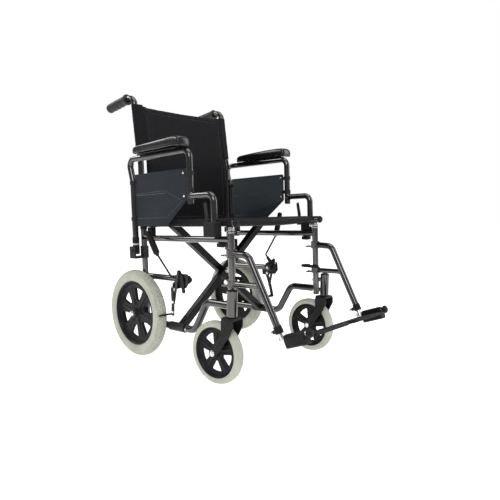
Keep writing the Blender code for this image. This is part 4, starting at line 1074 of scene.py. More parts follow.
def makePanel(side, tag):
    a, p = armrest, sidePanel
    body = f"armrest_{tag}"
    half = p["thick"] / 2
    xIn, xOut = (side * (a["x"] - half), side * (a["x"] + half))
    outline = softCorners([(p["rear"], p["low"]), (p["rear"], p["top"]), (p["front"], p["top"]),
                           (p["front"], p["stepZ"]), (p["stepY"], p["low"])], 0.007, 5)
    pieces = [plate("skirtGuard", [outline], min(xIn, xOut), max(xIn, xOut), 0.0010)]
    # pressed lines: one parallel to the top that drops at the front, one that follows the lower edge
    lines = (
        [(-0.010, 0.588), (p["stepY"] - 0.002, 0.593), (-0.270, 0.552)],
        [(-0.010, 0.583), (p["stepY"] - 0.002, 0.584)],
        [(-0.008, 0.501), (p["stepY"] - 0.005, 0.502), (-0.262, 0.552)],
    )
    for face in (-1, 1):
        for line in lines:
            route = [(side * a["x"] + face * (half - 0.0004), y, z) for y, z in line]
            route = roundedRoute(route, 0.012, 6) if len(route) > 2 else route
            pieces.append(sweep("pressedLine", route, 0.0011, 8))
    fitted(merged(f"skirtGuard_{tag}", pieces), "panel", body, f"side_panel_{tag}")

    screws = []
    for z in (0.645, 0.570):
        for face in (-1, 1):
            at = (side * a["x"] + face * half, p["front"] + 0.012, z)
            screws.append(roundHead("guardScrew", at, (face, 0, 0), 0.0042, 0.0022))
    fitted(merged(f"guardScrews_{tag}", screws), "bright", body)
    # clips that snap the guard onto the front leg and the rear tube
    clips = []
    for y, z in ((a["frontY"], 0.642), (a["frontY"], 0.573 + 0.016), (a["backY"], 0.630), (a["backY"], 0.500)):
        clips.append(lathe("clip", [(a["tubeR"] + 0.0002, -0.007), (a["tubeR"] + 0.0018, -0.0064),
                                    (a["tubeR"] + 0.0018, 0.0064), (a["tubeR"] + 0.0002, 0.007)],
                           (side * a["x"], y, z), (0, 0, 1), 32, closed=True))
        toward = 1 if y < -0.1 else -1
        clips.append(easedBox("clipTongue", (side * a["x"] - 0.0042, y + toward * 0.0095, z - 0.006),
                              (side * a["x"] + 0.0042, y + toward * 0.0230, z + 0.006), 0.0012, 3))
    fitted(merged(f"guardClips_{tag}", clips), "plastic", body)


def makePad(side, tag):
    # flat underneath, crowned across, highest near the front and falling to a thin rounded tail
    p = padShape
    body = f"armrest_{tag}"
    length = p["back"] - p["front"]
    sections, sides = 60, 36
    verts, faces = [], []
    for i in range(sections + 1):
        t = i / sections
        y = p["front"] + length * t
        nose = math.sqrt(max(0.0, 1 - max(0.0, (0.055 - t) / 0.055) ** 2))
        tail = math.sqrt(max(0.0, 1 - max(0.0, (t - 0.90) / 0.10) ** 2))
        ends = 0.86 + 0.14 * nose if t < 0.055 else 0.55 + 0.45 * tail
        rise = 1 - 0.10 * max(0.0, (0.20 - t) / 0.20) ** 2 - 0.26 * max(0.0, (t - 0.20) / 0.80) ** 1.7
        tall = (p["top"] - p["bottom"]) * rise * (0.80 + 0.20 * nose) * (0.62 + 0.38 * tail)
        wide = p["width"] / 2 * ends
        ring = []
        for k in range(sides):
            angle = 2 * math.pi * k / sides
            c, s = math.cos(angle), math.sin(angle)
            across = wide * math.copysign(abs(c) ** 0.55, c)
            if s >= 0:
                up = tall * (0.42 + 0.58 * abs(s) ** 0.80)
            else:
                up = tall * 0.42 * (1 - abs(s) ** 0.45)
            ring.append(Vector((side * p["x"] + across, y, p["bottom"] + up)))
        verts += ring
    for i in range(sections):
        for k in range(sides):
            n = (k + 1) % sides
            faces.append((i * sides + k, i * sides + n, (i + 1) * sides + n, (i + 1) * sides + k))
    faces.append(tuple(range(sides))[::-1])
    faces.append(tuple(sections * sides + k for k in range(sides)))
    pad = puffed(meshPiece(f"armPad_{tag}", verts, faces), p["puff"])
    for vert in pad.data.vertices:
        vert.co.z = max(vert.co.z, p["bottom"])          # it lies flat on its plate
    # a moulding line round the pad just above its base
    for vert in pad.data.vertices:
        above = (vert.co.z - p["bottom"] - 0.0085) / 0.0016
        if abs(above) < 2.5:
            inward = Vector((side * p["x"] - vert.co.x, 0, 0)).normalized()
            vert.co += inward * 0.0009 * math.exp(-above * above)
    fitted(pad, "pad", body, f"armrest_pad_{tag}", sharp=170)
    # two screws from below hold the pad's steel base strip to the tube
    strip = easedBox("padStrip", (side * (p["x"] - 0.0170), p["front"] + 0.030, p["bottom"] - 0.0024),
                     (side * (p["x"] + 0.0170), p["back"] - 0.030, p["bottom"] - 0.0001), 0.0008, 2)
    screws = [roundHead("padScrew", (side * (p["x"] + 0.004), y, p["bottom"] - 0.0023), (0, 0, -1), 0.0045, 0.0024)
              for y in (p["front"] + 0.055, p["back"] - 0.055)]
    fitted(merged(f"padStrip_{tag}", [strip] + screws), "powder", body)


for side, tag in bothSides:
    makeArmrest(side, tag)
print("armrests")

# ---------- parts of the frame that keep their CAD shape and get a finish and hardware of their own
keptNodes = {
    "powder": ["armrest_hinge", "brake_bracket", "brake_arm", "brake_link"],
    "plastic": ["armrest_socket", "armrest_latch", "footrest_latch"],
}
for finish, names in keptNodes.items():
    for name in names:
        for side, tag in bothSides:
            node = frame["nodes"][f"{name}_{tag}"]
            node.material_slots[0].material = finishes[finish][0]
for tag in ("a", "b"):
    frame["nodes"][f"cross_brace_{tag}"].material_slots[0].material = finishes["powder"][0]

# ---------- cross brace and seat rails
brace = dict(lowerZ=0.121, barA=-0.197, barB=-0.169, bar=0.025)


def makeBraceBolt():
    b = brace
    middle = (b["lowerZ"] + seatZ) / 2
    front, back = b["barA"] - b["bar"] / 2 - 0.0003, b["barB"] + b["bar"] / 2 + 0.0003
    rod = lathe("braceRod", [(0, back - front), (0.005, back - front), (0.005, 0), (0, 0)], (0, front, middle),
                (0, 1, 0), 24)
    head = hexHead("braceHead", (0, front, middle), (0, -1, 0), 0.0140, 0.0055)
    nut = hexHead("braceNut", (0, back, middle), (0, 1, 0), 0.0140, 0.0065)
    fitted(merged("braceBolt", [rod, head, nut]), "bright", "brace_a", "brace_pivot_bolt")


def makeSeatRail(side, tag, body):
    low, high = (-0.4765, -0.030)
    x = side * halfWidth
    rail = sweep("seatRail", [(x, high, seatZ), (x, low, seatZ)], 0.0110, 32)
    fitted(rail, "lacquer", body, f"seat_rail_{tag}").name = f"seatRail_{tag}"
    cap = lathe("railCap", [(0, 0.0098), (0.0060, 0.0094), (0.0102, 0.0078), (0.0122, 0.0052), (0.0128, 0.0022),
                            (0.0128, 0.0008), (0.0124, 0.0003), (0, 0.0003)], (x, low, seatZ), (0, -1, 0), 40)
    fitted(cap, "plastic", body, f"rail_end_cap_{tag}").name = f"railCap_{tag}"
    plug = lathe("railPlug", [(0, 0.0007), (0.0090, 0.0006), (0.0106, 0.0), (0.0106, -0.001), (0, -0.001)],
                 (x, high, seatZ), (0, 1, 0), 32)
    fitted(plug, "plastic", body).name = f"railPlug_{tag}"


makeBraceBolt()
makeSeatRail(1, "left", "brace_a")
makeSeatRail(-1, "right", "brace_b")
print("cross brace and seat rails")

# ---------- seat and back upholstery
seat = dict(half=0.2035, front=-0.4715, back=-0.033, edgeTop=0.4935, thick=0.0150, sag=0.0125, frontRoll=0.0045,
            puff=dict(voxel=0.0046, pressure=4.0, stiff=14.0, frames=16, cap=0.0030))


def slab(name, columns, rows, pointAt):
    # a closed slab from two grids: pointAt(u, v, top) gives each skin, and the skins meet round the rim
    verts, faces = [], []
    for top in (True, False):
        for j in range(rows + 1):
            for i in range(columns + 1):
                verts.append(pointAt(i / columns, j / rows, top))
    across, skin = columns + 1, (columns + 1) * (rows + 1)
    for j in range(rows):
        for i in range(columns):
            a = j * across + i
            faces.append((a, a + 1, a + across + 1, a + across))
            faces.append((skin + a + across, skin + a + across + 1, skin + a + 1, skin + a))
    rim = ([i for i in range(columns)] + [columns + j * across for j in range(rows)]
           + [rows * across + i for i in range(columns, 0, -1)] + [j * across for j in range(rows, 0, -1)])
    for k, a in enumerate(rim):
        b = rim[(k + 1) % len(rim)]
        faces.append((b, a, a + skin, b + skin))
    obj = meshPiece(name, verts, faces)
    rightWayOut(obj)
    return obj


def pillow(u, v, power=8):
    # 1 in the middle of the slab, falling steeply to nothing at its rim
    return ((1 - abs(2 * u - 1) ** power) * (1 - abs(2 * v - 1) ** power)) ** 0.5


def makeSeat():
    s = seat

    def pointAt(u, v, top):
        x = s["half"] * (2 * u - 1)
        y = s["front"] + (s["back"] - s["front"]) * v
        sag = s["sag"] * (1 - (2 * u - 1) ** 2) * (0.86 + 0.14 * math.sin(math.pi * v))
        body = s["thick"] / 2 * (0.56 + 0.44 * pillow(u, v, 10))
        roll = s["frontRoll"] * math.exp(-(v / 0.035) ** 2)
        middle = s["edgeTop"] - s["thick"] / 2 - sag
        return Vector((x, y, middle + body + roll * 0.3 if top else middle - body - roll))

    obj = puffed(slab("seatPad", 60, 64, pointAt), s["puff"])
    # sewn lines after the swelling: one inside each rail and one behind the front hem, on the top skin
    for vert in obj.data.vertices:
        sag = s["sag"] * (1 - (vert.co.x / s["half"]) ** 2)
        if vert.co.z < s["edgeTop"] - s["thick"] / 2 - sag:
            continue
        for off in ((abs(vert.co.x) - 0.176) / 0.0022, (vert.co.y + 0.446) / 0.0022):
            if abs(off) < 3:
                vert.co.z -= 0.0013 * math.exp(-off * off)
    obj.data.transform(tipped)
    mat, slotName = finishes["nylon"]
    obj.data.materials.clear()
    obj.data.materials.append(mat)
    obj.data.shade_smooth()
    start, end = tipped @ Vector((0.19, -0.25, seatZ)), tipped @ Vector((-0.19, -0.25, seatZ))
    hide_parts("seat_upholstery")
    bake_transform(obj)
    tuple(start)
    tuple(end)
    return obj


def heightOn(obj, x, y):
    # where a plumb line at x, y meets the piece, with the way the skin faces there
    hit, spot, normal, _ = obj.ray_cast(Vector((x, y, 2.0)), Vector((0, 0, -1)))
    return (spot, normal) if hit else (None, None)


def makeSeatStitches(pad):
    rows = []
    ys = [-0.440 + 0.0095 * i for i in range(42)]
    xs = [-0.170 + 0.0100 * i for i in range(35)]
    lines = [[(side * 0.1735, y) for y in ys] for side in (-1, 1)]
    lines.append([(x, -0.4435) for x in xs])
    for line in lines:
        spots, normals = [], []
        for x, y in line:
            room = tipped @ Vector((x, y, seatZ))
            spot, normal = heightOn(pad, room.x, room.y)
            if spot is not None:
                spots.append(spot)
                normals.append(normal)
        rows.append(stitchRow("seatRow", spots, normals))
    obj = merged("seatStitches", rows)
    obj.data.materials.append(finishes["thread"][0])
    obj.data.shade_smooth()
    start, end = tipped @ Vector((0.19, -0.25, seatZ)), tipped @ Vector((-0.19, -0.25, seatZ))
    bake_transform(obj)
    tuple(start)
    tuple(end)


def fabricOver(name, section, stations, thick):
    # a strip of cloth: the section's points carried along the stations, then given its thickness
    verts, faces = [], []
    for station in stations:
        verts += [station @ Vector((x, y, 0)) for x, y in section]
    count = len(section)
    for j in range(len(stations) - 1):
        for i in range(count - 1):
            a = j * count + i
            faces.append((a, a + 1, a + count + 1, a + count))
    obj = meshPiece(name, verts, faces)
    body = obj.modifiers.new("body", "SOLIDIFY")
    body.thickness = thick
    body.offset = 0
    return settled(obj)


railWrap = dict(radius=0.0119, thick=0.0010, fromInner=0.0155, outerAngle=-42)


def makeRailWrap(side, tag, body):
    # the seat cloth goes over the rail and is fixed low on its outside
    w = railWrap
    section = [(-w["fromInner"], w["radius"] * 0.93), (-w["fromInner"] * 0.6, w["radius"] * 0.985)]
    steps = 22
    for i in range(steps + 1):
        angle = math.radians(98 + (w["outerAngle"] - 98) * i / steps)
        section.append((w["radius"] * math.cos(angle), w["radius"] * math.sin(angle)))
    section = [(side * x, z) for x, z in section]
    stations = []
    count = 40
    for j in range(count + 1):
        y = seat["front"] + 0.001 + (seat["back"] - seat["front"] - 0.002) * j / count
        stations.append(Matrix(((1, 0, 0, side * halfWidth), (0, 0, 1, y), (0, 1, 0, seatZ), (0, 0, 0, 1))))
    obj = fabricOver(f"seatWrap_{tag}", section, stations, w["thick"])
    fitted(obj, "nylon", body, sharp=70)
    width = sum((Vector(b) - Vector(a)).length for a, b in zip(section, section[1:]))
    # flat screws hold the cloth's edge along the rail
    screws = []
    for i in range(6):
        y = seat["front"] + 0.040 + i * 0.0725
        angle = math.radians(-22)
        out = Vector((side * math.cos(angle), 0, math.sin(angle)))
        at = Vector((side * halfWidth, y, seatZ)) + out * (w["radius"] + w["thick"] / 2 - 0.0002)
        screws.append(roundHead("seatScrew", at, out, 0.0040, 0.0008))
    fitted(merged(f"seatScrews_{tag}", screws), "powder", body)


back = dict(half=0.2040, keep=0.345, low=0.486, fold=0.700, high=0.9165, edgeY=-0.0100, thick=0.0100, sag=0.0135,
            puff=dict(voxel=0.0042, pressure=4.0, stiff=14.0, frames=16, cap=0.0028))
sleeveWrap = dict(radius=0.0121, thick=0.0012, low=0.745, high=0.9165)


def leanAt(z):
    # how far the canes lean back at a height
    share = max(0.0, z - handle["leanZ"]) / (handle["top"] - handle["leanZ"])
    return share * handle["leanY"]


def makeBack():
    b = back

    def pointAt(u, v, front):
        x = b["half"] * (2 * u - 1)
        z = b["low"] + (b["high"] - b["low"]) * v
        z -= 0.0035 * (1 - (2 * u - 1) ** 2) * max(0.0, (v - 0.85) / 0.15)     # the top hem dips a little
        sag = b["sag"] * (1 - (2 * u - 1) ** 2) * (0.90 + 0.10 * math.sin(math.pi * v))
        body = b["thick"] / 2 * (0.74 + 0.26 * pillow(u, v, 12))
        middle = b["edgeY"] + sag + leanAt(z)
        return Vector((x, middle - body if front else middle + body, z))

    obj = puffed(slab("backPad", 60, 62, pointAt), b["puff"])
    for vert in obj.data.vertices:
        z, x = vert.co.z, vert.co.x
        middle = b["edgeY"] + b["sag"] * (1 - (x / b["half"]) ** 2) + leanAt(z)
        toFront = -1 if vert.co.y < middle else 1
        for off in ((abs(x) - 0.180) / 0.0024, (z - 0.893) / 0.0024, (z - 0.501) / 0.0024):
            if abs(off) < 3:
                vert.co.y -= toFront * 0.0012 * math.exp(-off * off)
        # soft upright creases near the canes, where the cloth is pulled between them
        near = math.exp(-((abs(x) - 0.155) / 0.020) ** 2)
        crease = noise.noise(Vector((x * 46, 0.0, z * 3.2)))
        vert.co.y -= toFront * 0.0011 * crease * near
    fitted(obj, "nylon", "right_frame", "backrest_upholstery", sharp=80)
    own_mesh(obj)
    return obj


def makeBackStitches(pad):
    rows = []
    inner = tipped.to_3x3() @ Vector((0, 1, 0))
    for line in ([(side * 0.1775, 0.504 + 0.0100 * i) for i in range(39)] for side in (-1, 1)):
        rows.append(line)
    for z in (0.8905, 0.5035):
        rows.append([(-0.174 + 0.0100 * i, z) for i in range(35)])
    made = []
    for line in rows:
        for ahead in (1, -1):
            spots, normals = [], []
            for x, z in line:
                origin = tipped @ Vector((x, leanAt(z) - 0.2 * ahead, z))
                hit, spot, normal, _ = pad.ray_cast(origin, inner * ahead)
                if hit:
                    spots.append(spot)
                    normals.append(normal)
            if len(spots) > 2:
                made.append(stitchRow("backRow", spots, normals))
    obj = merged("backStitches", made)
    obj.data.materials.append(finishes["thread"][0])
    obj.data.shade_smooth()
    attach(obj, "right_frame")
    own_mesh(obj)


def makeCaneSleeve(side, tag):
    # the back's cloth goes round the cane as a sleeve, from a little above the armrest to the top hem
    w = sleeveWrap
    body = f"{tag}_frame"
    section = [(-0.0230, -w["radius"] - 0.0030), (-0.0150, -w["radius"] - 0.0016), (-0.0080, -w["radius"] - 0.0004)]
    steps = 30
    for i in range(steps + 1):
        angle = math.radians(-96 + (96 + 112) * i / steps)
        section.append((w["radius"] * math.cos(angle), w["radius"] * math.sin(angle)))
    section += [(-0.0135, -0.0008), (-0.0180, -0.0030), (-0.0230, -0.0022)]
    section = [(side * x, y) for x, y in section]
    stations = []
    count = 36
    for j in range(count + 1):
        z = w["low"] + (w["high"] - w["low"]) * j / count
        swell = 1 + 0.010 * math.sin(j * 1.7) + 0.012 * math.sin(j * 0.61 + side)
        stations.append(Matrix(((swell, 0, 0, side * halfWidth), (0, swell, 0, leanAt(z)), (0, 0, 1, z),
                                (0, 0, 0, 1))))
    obj = fabricOver(f"caneSleeve_{tag}", section, stations, w["thick"])
    fitted(obj, "nylon", body, sharp=70)
    width = sum((Vector(b) - Vector(a)).length for a, b in zip(section, section[1:]))


pad = makeSeat()
makeSeatStitches(pad)
makeRailWrap(1, "left", "brace_a")
makeRailWrap(-1, "right", "brace_b")
backPad = makeBack()
makeBackStitches(backPad)
for side, tag in bothSides:
    makeCaneSleeve(side, tag)
print("seat and back")

# ---------- brakes
brake = dict(
    inner=0.2297, layer=0.0035, gap=0.0006, leverPivot=(-0.230, 0.296), armPivot=(-0.188, 0.269),
    grip=((-0.138, 0.3775), (-0.087, 0.4565)), gripX=0.2640, gripR=0.0112, leverTravel=48.0, armTravel=-17.5,
)


def makeBrake(side, tag):
    b = brake
    freed = side > 0
    turn = math.radians(b["leverTravel"]) if freed else 0.0
    py, pz = b["leverPivot"]
    qy, qz = b["armPivot"]
    layers = [b["inner"] + i * (b["layer"] + b["gap"]) for i in range(4)]
    body = f"brake_lever_{tag}"
    about = (Matrix.Translation((0, py, pz)) @ Matrix.Rotation(turn, 4, "X") @ Matrix.Translation((0, -py, -pz)))
    blade = plate("blade", [softCorners([(-0.2475, 0.2475), (-0.2335, 0.2440), (-0.2235, 0.2885), (-0.1860, 0.2925),
                                         (-0.1860, 0.3045), (-0.2105, 0.3060), (-0.2125, 0.3225), (-0.2230, 0.3235),
                                         (-0.2400, 0.3020)], 0.004, 5),
                            ringOf((py, pz), 0.0046)],
                  *sorted((side * layers[1], side * (layers[1] + b["layer"]))), 0.0007)
    middle = side * (layers[1] + b["layer"] / 2)
    far = side * b["gripX"]
    low, high = (Vector((far, *p)) for p in b["grip"])
    route = roundedRoute([(middle, -0.190, 0.2985), (middle, -0.174, 0.2995), low,
                          low.lerp(high, 0.2)], 0.006, 6)
    fine = [route[0]]
    for a, c in zip(route, route[1:]):
        count = max(1, int((c - a).length / 0.0006))
        fine += [a.lerp(c, (k + 1) / count) for k in range(count)]

    def thread(distance, angle):
        # a rolled thread along the stalk
        return 0.0033 + 0.00032 * math.sin(angle + distance / 0.0030 * 2 * math.pi)
    stalk = sweep("stalk", fine, thread, 14)
    lever = merged(f"brakeLever_{tag}", [blade, stalk])
    lever.data.transform(about)
    fitted(lever, "powder", body, f"brake_lever_{tag}")

    along = (high - low)
    length = along.length
    count = 60

    def hand(distance, angle):
        # a hand grip with shallow flutes and a swollen end
        t = distance / length
        radius = b["gripR"] * (0.82 + 0.18 * math.sin(math.pi * min(1.0, 0.25 + t * 0.80)))
        radius -= 0.00045 * (0.5 + 0.5 * math.cos(angle * 12)) * (1 if 0.12 < t < 0.86 else 0)
        tail = max(0.0, (t - 0.93) / 0.07)
        nose = max(0.0, (0.05 - t) / 0.05)
        return radius * math.sqrt(max(1 - tail ** 2, 0.05)) * (1 - 0.28 * nose)
    grip = sweep("brakeGrip", [low.lerp(high, k / count) for k in range(count + 1)], hand, 48)
    collar = lathe("gripCollar", [(0.0034, -0.006), (0.0062, -0.0055), (0.0068, 0), (0.0034, 0.0006)],
                   low, along, 24, closed=True)
    held = merged(f"brakeGrip_{tag}", [grip, collar])
    held.data.transform(about)
    fitted(held, "plastic", body, sharp=50)

    # bolts and pins on the bracket, in the frame's own steel
    bolts = [hexHead("armPin", (side * (layers[3] + b["layer"] + 0.0006), qy, qz), (side, 0, 0), 0.0096, 0.0034)]
    for y in (-0.2505, -0.2050):
        bolts.append(hexHead("clampBolt", (side * layers[0], y, 0.3035 if y < -0.22 else 0.2640),
                             (-side, 0, 0), 0.0072, 0.0020))
    bolts.append(hexHead("clampNut", (side * (halfWidth - 0.0150), -0.230, sideFrame["stubZ"]), (-side, 0, 0),
                         0.0090, 0.0040))
    fitted(merged(f"brakeBolts_{tag}", bolts), "bright", f"{tag}_frame")

    armBody = f"brake_arm_{tag}"
    armTurn = math.radians(b["armTravel"]) if freed else 0.0
    armAbout = Matrix.Translation((0, qy, qz)) @ Matrix.Rotation(armTurn, 4, "X") @ Matrix.Translation((0, -qy, -qz))
    pin = hexHead("linkPin", (side * (layers[3] + b["layer"]), -0.190, 0.212), (side, 0, 0), 0.0072, 0.0026)
    shoeNut = hexHead("shoeNut", (side * (layers[3] + b["layer"]), -0.1868, 0.1765), (side, 0, 0), 0.0074, 0.0026)
    pins = merged(f"brakePins_{tag}", [pin, shoeNut])
    pins.data.transform(armAbout)
    fitted(pins, "bright", armBody)


for side, tag in bothSides:
    makeBrake(side, tag)
print("brakes")

# ---------- footrests
hanger = dict(
    topZ=0.386, lowZ=0.292, bendY=-0.527, foot=(-0.638, 0.162), footX=0.2125, tubeR=0.0110, collarR=0.0165,
    bend=0.030, crossR=0.0088,
)
barrel = dict(x=0.2095, back=(-0.636, 0.1415), tilt=18.5, length=0.106, radius=0.0070, knobR=0.0130)
footplate = dict(blockStart=0.026, blockEnd=0.098, blockHalf=0.0145, blockDrop=0.028, thick=0.010, drop=0.012,
                 inner=0.018, back=0.010, front=0.116, ribs=9)


def onBarrel(side, t, lift=0.0, x=None):
    tilt = math.radians(barrel["tilt"])
    return Vector((side * (barrel["x"] if x is None else x),
                   barrel["back"][0] - t * math.cos(tilt) + lift * math.sin(tilt),
                   barrel["back"][1] + t * math.sin(tilt) + lift * math.cos(tilt)))


def makeHanger(side, tag):
    h = hanger
    body = f"hanger_{tag}"
    x = side * halfWidth
    foot = Vector((side * h["footX"], *h["foot"]))
    corner = Vector((x, h["bendY"], h["topZ"] - 0.004))
    leg = sweep("leg", roundedRoute([(x, postY - 0.0122, h["topZ"] - 0.0007), corner, foot], h["bend"], 14), h["tubeR"], 32)
    share = (corner.z - h["lowZ"]) / (corner.z - foot.z)
    meet = corner.lerp(foot, share)
    cross = sweep("crossTube", [(x, postY - 0.0122, h["lowZ"]), meet], h["crossR"], 24)
    down = (foot - corner).normalized()
    pieces = [leg, cross,
              saddleWeld("crossWeld", meet, (0, 1, 0), down, h["tubeR"], h["crossR"], 0.0012)]
    for z, tall in ((h["topZ"], 0.026), (h["lowZ"], 0.020)):
        r, bore = h["collarR"], sideFrame["postR"] + 0.0009
        pieces.append(lathe("collar", [(bore, -tall / 2), (r - 0.0010, -tall / 2), (r, -tall / 2 + 0.0010),
                                       (r, tall / 2 - 0.0010), (r - 0.0010, tall / 2), (bore, tall / 2)],
                            (x, postY, z), (0, 0, 1), 40, closed=True))
        # the plate under each collar runs back past the post as a stop
        outline = [(postY - 0.025, -0.014), (postY - 0.025, 0.014), (postY + 0.034, 0.014), (postY + 0.040, 0.008),
                   (postY + 0.040, -0.008), (postY + 0.034, -0.014)]
        outline = softCorners([(y, v) for y, v in outline], 0.004, 4)
        flat = Matrix(((0, 1, 0, x), (1, 0, 0, 0), (0, 0, 1, z - 0.0065), (0, 0, 0, 1)))
        pieces.append(plate("collarPlate", [outline, ringOf((postY, 0), bore, 32)], -0.002, 0.002, 0.0007, flat))
    fitted(merged(f"hangerTubes_{tag}", pieces), "lacquer", body, f"footrest_hanger_{tag}")
    pins = [roundHead("collarPin", (x, postY + 0.0300, z - 0.0045), (0, 0, 1), 0.0042, 0.0030)
            for z in (h["topZ"], h["lowZ"])]
    fitted(merged(f"hangerPins_{tag}", pins), "bright", body)

    # telescoping tube, its clamp, the adjusting bolt behind the leg, and the hinge barrel
    top = foot + down * 0.0015
    b = barrel
    end = onBarrel(side, 0.012)
    bright = [sweep("innerTube", [top, end], 0.0090, 28),
              lathe("barrelTube", [(0, 0), (b["radius"] * 0.9, 0), (b["radius"], 0.0008),
                                   (b["radius"], b["length"] - 0.0008), (b["radius"] * 0.9, b["length"]),
                                   (0, b["length"])], onBarrel(side, 0),
                    onBarrel(side, 1) - onBarrel(side, 0), 32)]
    fitted(merged(f"footTube_{tag}", bright), "bright", body, f"footplate_tube_{tag}")
    clampLow = foot - down * 0.022
    clamp = lathe("clampBand", [(h["tubeR"] + 0.0003, 0), (h["tubeR"] + 0.0014, 0.0006), (h["tubeR"] + 0.0018, 0.004),
                                (h["tubeR"] + 0.0018, 0.018), (h["tubeR"] + 0.0014, 0.0222),
                                (h["tubeR"] + 0.0003, 0.0226)], clampLow, down, 36, closed=True)
    behind = Vector((0, 1, 0)) - down * down.y
    behind.normalize()
    at = foot - down * 0.0100
    lug = sweep("clampLug", [at + behind * 0.0120, at + behind * 0.0210], 0.0062, 20)
    fitted(merged(f"footClamp_{tag}", [clamp, lug]), "plastic", body)
    screw = lathe("adjustBolt", [(0, 0.0135), (0.0022, 0.0133), (0.0036, 0.0110), (0.0040, 0.0070), (0.0052, 0.0066),
                                 (0.0052, 0), (0, 0)], at + behind * 0.0208, behind, 24)
    fitted(screw, "bright", body).name = f"adjustBolt_{tag}"
    knobAt = onBarrel(side, b["length"])
    ahead = onBarrel(side, 1) - onBarrel(side, 0)
    knob = [(0, 0.0130), (0.0070, 0.0126), (0.0108, 0.0108), (b["knobR"], 0.0075), (b["knobR"], 0.0040),
            (0.0112, 0.0012), (0.0095, 0.0003), (0, 0.0003)]
    fitted(lathe(f"barrelKnob_{tag}", knob, knobAt, ahead, 40), "plastic", body, f"footplate_cap_{tag}")


def makeFootplate(side, tag):
    f = footplate
    body = f"footplate_{tag}"
    origin = onBarrel(side, 0)
    ahead = onBarrel(side, 1) - origin
    lifted = onBarrel(side, 0, lift=1) - origin
    local = Matrix.Translation(origin) @ Matrix(((1, 0, 0), ahead, lifted)).transposed().to_4x4()
    inward = -side
    b = barrel
    # hinge shell: a trough section with rounded shoulders, bored for the barrel
    shell = []
    outer = [(-f["blockHalf"], -f["blockDrop"] + 0.004), (-f["blockHalf"], 0.004)]
    for i in range(9):
        angle = math.radians(180 - 22.5 * i)
        outer.append((f["blockHalf"] * math.cos(angle), 0.0005 + 0.0125 * math.sin(angle)))
    outer += [(f["blockHalf"], 0.004), (f["blockHalf"], -f["blockDrop"] + 0.004),
              (f["blockHalf"] - 0.004, -f["blockDrop"]), (-f["blockHalf"] + 0.004, -f["blockDrop"])]
    bore = ringOf((0, 0), b["radius"] + 0.0008, 32)
    standing = local @ Matrix(((1, 0, 0, 0), (0, 0, 1, 0), (0, 1, 0, 0), (0, 0, 0, 1)))
    shell.append(plate("hingeShell", [outer, bore], f["blockStart"], f["blockEnd"], 0.0012, standing))
    reach = b["x"] - f["inner"]
    outline = [(f["blockHalf"] - 0.004, f["blockStart"]), (0.033, f["blockStart"]), (0.042, f["back"] + 0.0085),
               (0.092, f["back"]), (reach, f["back"]), (reach, f["front"]), (0.020, f["front"]),
               (f["blockHalf"] - 0.004, f["blockEnd"])]
    outline = softCorners([(inward * x, t) for x, t in outline], 0.010, 5)
    shell.append(plate("tread", [outline], -f["drop"] + 0.0030, f["thick"] - f["drop"] - 0.0012, 0.0012, local))
    # a rim below and round the plate, cross ribs underneath, and grip bars on the tread
    wall = [Vector((x, t)) for x, t in outline]
    centre = sum(wall, Vector((0, 0))) / len(wall)
    insetWall = [tuple(p + (centre - p).normalized() * 0.0045) for p in wall]
    shell.append(plate("skirt", [outline, insetWall], -f["drop"], -f["drop"] + 0.0036, 0.0006, local))
    for i in range(f["ribs"]):
        x = inward * (0.040 + (reach - 0.056) * i / (f["ribs"] - 1))
        shell.append(easedBox("underRib", (x - 0.0010, f["back"] + 0.006, -f["drop"] + 0.0004),
                              (x + 0.0010, f["front"] - 0.006, -f["drop"] + 0.0035), 0.0005, 2, local))
        shell.append(easedBox("treadBar", (x - 0.0042, f["back"] + 0.014, f["thick"] - f["drop"] - 0.0016),
                              (x + 0.0042, f["front"] - 0.014, f["thick"] - f["drop"] - 0.0001), 0.0007, 2, local))
    for i in range(3):
        t = f["back"] + 0.028 + i * 0.026
        shell.append(easedBox("longRib", (inward * 0.030, t - 0.0010, -f["drop"] + 0.0005),
                              (inward * (reach - 0.010), t + 0.0010, -f["drop"] + 0.0034), 0.0005, 2, local))
    fitted(merged(f"footplateShell_{tag}", shell), "plastic", body, f"footplate_{tag}")
    # bright bush between the hinge shell and the knob
    bush = lathe("bush", [(b["radius"] + 0.0003, 0), (0.0098, 0.0003), (0.0098, 0.0050), (b["radius"] + 0.0003, 0.0054)],
                 onBarrel(side, f["blockEnd"] + 0.0008), ahead, 32, closed=True)
    fitted(bush, "bright", f"hanger_{tag}").name = f"barrelBush_{tag}"


for side, tag in bothSides:
    makeHanger(side, tag)
    makeFootplate(side, tag)
print("footrests")

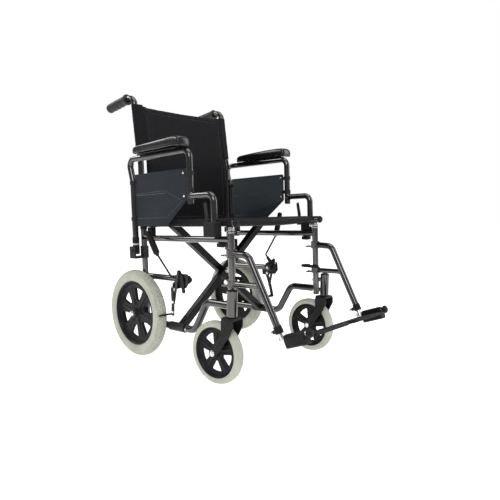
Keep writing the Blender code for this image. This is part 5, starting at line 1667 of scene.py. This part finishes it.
# ---------- floor, light and camera
studio = dict(
    floorSize=30.0, backdrop=1.0, dome=0.36, floorGlow=0.80,
    lights=(
        # name, place, aimed at, size, power
        ("keyLight", (-3.2, -2.6, 3.4), (0, 0, 0.5), (2.4, 2.4), 120.0),
        ("sideLight", (3.0, -2.4, 2.2), (0, 0, 0.5), (1.6, 3.0), 60.0),
        ("rimLight", (-1.6, 3.4, 3.0), (0, 0, 0.6), (3.0, 1.2), 70.0),
        ("topLight", (0.2, -0.2, 4.2), (0, 0, 0.4), (3.0, 3.0), 80.0),
    ),
)
cameraSet = dict(place=(-1.2909, -1.2672, 0.5858), azimuth=-46.904, elevation=6.126, roll=0.634, lens=35.9)


def makeStudio():
    half = studio["floorSize"] / 2
    floor = meshPiece("floor", [(-half, -half, 0), (half, -half, 0), (half, half, 0), (-half, half, 0)],
                      [(0, 1, 2, 3)])
    floor.data.materials.append(paleFloor(studio["floorGlow"]))
    world = bpy.data.worlds.new("studio")
    world.use_nodes = True
    tree = world.node_tree
    background = tree.nodes["Background"]
    background.inputs["Color"].default_value = (1.0, 1.0, 1.0, 1.0)
    path = tree.nodes.new("ShaderNodeLightPath")
    strength = rangeOf(tree, path.outputs["Is Camera Ray"], studio["dome"], studio["backdrop"], 0.0, 1.0)
    tree.links.new(strength, background.inputs["Strength"])
    bpy.context.scene.world = world
    bpy.context.scene.view_settings.view_transform = "Standard"
    for name, place, aim, size, power in studio["lights"]:
        lamp = bpy.data.lights.new(name, "AREA")
        lamp.shape = "RECTANGLE"
        lamp.size, lamp.size_y = size
        lamp.energy = power
        obj = newPiece(name, lamp)
        obj.location = place
        obj.rotation_euler = (Vector(aim) - Vector(place)).to_track_quat("-Z", "Y").to_euler()


def makeCamera():
    c = cameraSet
    data = bpy.data.cameras.new("camera")
    data.lens = c["lens"]
    data.sensor_width = 36.0
    camera = newPiece("camera", data)
    a, e, r = (math.radians(c[k]) for k in ("azimuth", "elevation", "roll"))
    behind = Vector((math.sin(a) * math.cos(e), -math.cos(a) * math.cos(e), math.sin(e)))
    right = Vector((math.cos(a), math.sin(a), 0))
    up = behind.cross(right)
    right, up = right * math.cos(r) + up * math.sin(r), up * math.cos(r) - right * math.sin(r)
    camera.matrix_world = Matrix.Translation(c["place"]) @ Matrix((right, up, behind)).transposed().to_4x4()
    bpy.context.scene.camera = camera


makeStudio()
makeCamera()
print("studio and camera")
